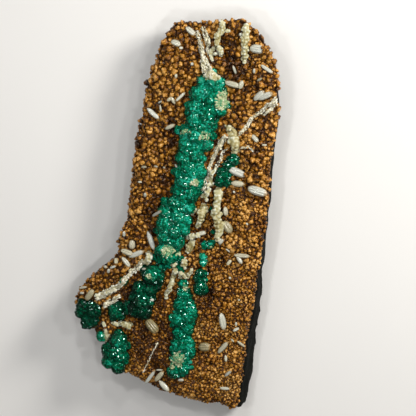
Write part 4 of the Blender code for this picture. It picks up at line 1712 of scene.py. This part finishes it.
# %% [markdown]
# ### Small blades and flecks
#
# These are too small for solids of their own. Each lies on whatever its two ends show, crust or green,
# and is lifted by a share of its width so that it isn't lost between the nodules.

# %% Lay the small blades
FLECK_RISE = 0.0016
FLECK_LIFT = 0.3
SMALL_BLADES = [
    (179, 48, 183, 48, 3), (192, 62.5, 192, 65.5, 3), (176, 74, 176, 78, 3), (176, 101, 185, 92.5, 3),
    (167, 101, 172, 97.5, 3.5), (171, 97, 175, 104, 3.5), (158, 103, 162, 101, 2), (160, 105, 161, 112, 2),
    (137, 139, 141, 135, 2), (141.5, 167, 146.5, 167, 2.5), (154, 166, 158, 167, 2), (163, 167, 165, 168, 2),
    (133, 173, 135, 175, 2), (138, 182, 142, 182, 2.2), (145, 193, 145, 197, 3), (233, 66, 236, 74, 2.6),
    (257, 81, 262, 78, 2.5), (254, 68.5, 254, 73.5, 2.5), (262, 145, 267, 145, 2), (225, 207, 226, 216, 5),
    (124, 231.5, 124, 236.5, 3), (116, 258, 116, 264, 4), (110, 268, 116, 266, 2.5), (109, 269, 108, 273, 3),
    (104, 266, 107, 268, 3), (85.5, 280, 90, 284, 2), (79, 288, 87, 287, 2.5), (80, 293, 84, 293, 2.5),
    (152.5, 216, 161, 211, 3), (175, 164, 177, 168, 2), (227, 265, 231, 260, 3.5), (226, 249, 230, 252, 1.5),
    (229, 277, 231, 279, 2.5), (238, 300, 240, 300, 2), (233, 331, 239, 328, 3), (236, 322, 236, 326, 2.5),
    (225.5, 355, 226, 362, 3), (237, 341, 245, 347, 2.5), (225, 376, 231, 371, 3), (156, 370, 163, 370, 2),
    (150, 300, 154, 300, 3), (178, 380, 184, 380, 3), (231, 339, 234, 342, 2), (246, 223, 248, 225, 2),
    (233, 191, 235, 193, 2), (142, 269, 146, 269, 2.5), (198, 234, 206, 232.5, 4.5), (219, 244, 223, 239, 4),
]

spots = []
for x0, y0, x1, y1, wide in SMALL_BLADES:
    first, second = spot(x0, y0), spot(x1, y1)
    if first and second:
        width = wide * PIXEL
        lift = toward * (width * FLECK_LIFT + FLECK_RISE)
        kind = chance.randrange(len(small_blades))
        spots.append(lay_blade(first[0] + lift, second[0] + lift, width, kind, chance.uniform(0.3, 1)))
finish_piece(stamp("small_blades", small_blades, spots, "blade", True), "pale_blade")

# %% [markdown]
# ## Floor
#
# A wide sheet of pale paper under the slab. It catches the slab's soft shadow and is no part of it.

# %% Floor
FLOOR_SIZE = 8.0

start()
bpy.ops.mesh.primitive_plane_add(size=FLOOR_SIZE, location=(0, 0, 0))
floor = bpy.context.object
floor.name = "floor"
floor.data.materials.append(finishes["paper"])
floor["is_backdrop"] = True

# %% [markdown]
# ## Measuring
#
# The patterns have done their work and go. What is left is counted, and its box is printed, because the
# dressed part should keep the size of the solids.

# %% Measure and finish
for shape in nodules + grains + crystals + clear_crystals + blades + small_blades + [ball]:
    bpy.data.objects.remove(shape)
shown = [thing for thing in bpy.context.scene.objects if thing.type == "MESH" and not thing.hide_render]
print(len(shown), "pieces,", sum(triangles_of(thing) for thing in shown), "triangles")

low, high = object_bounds()
print("visual box", [round(v, 4) for v in low], [round(v, 4) for v in high])
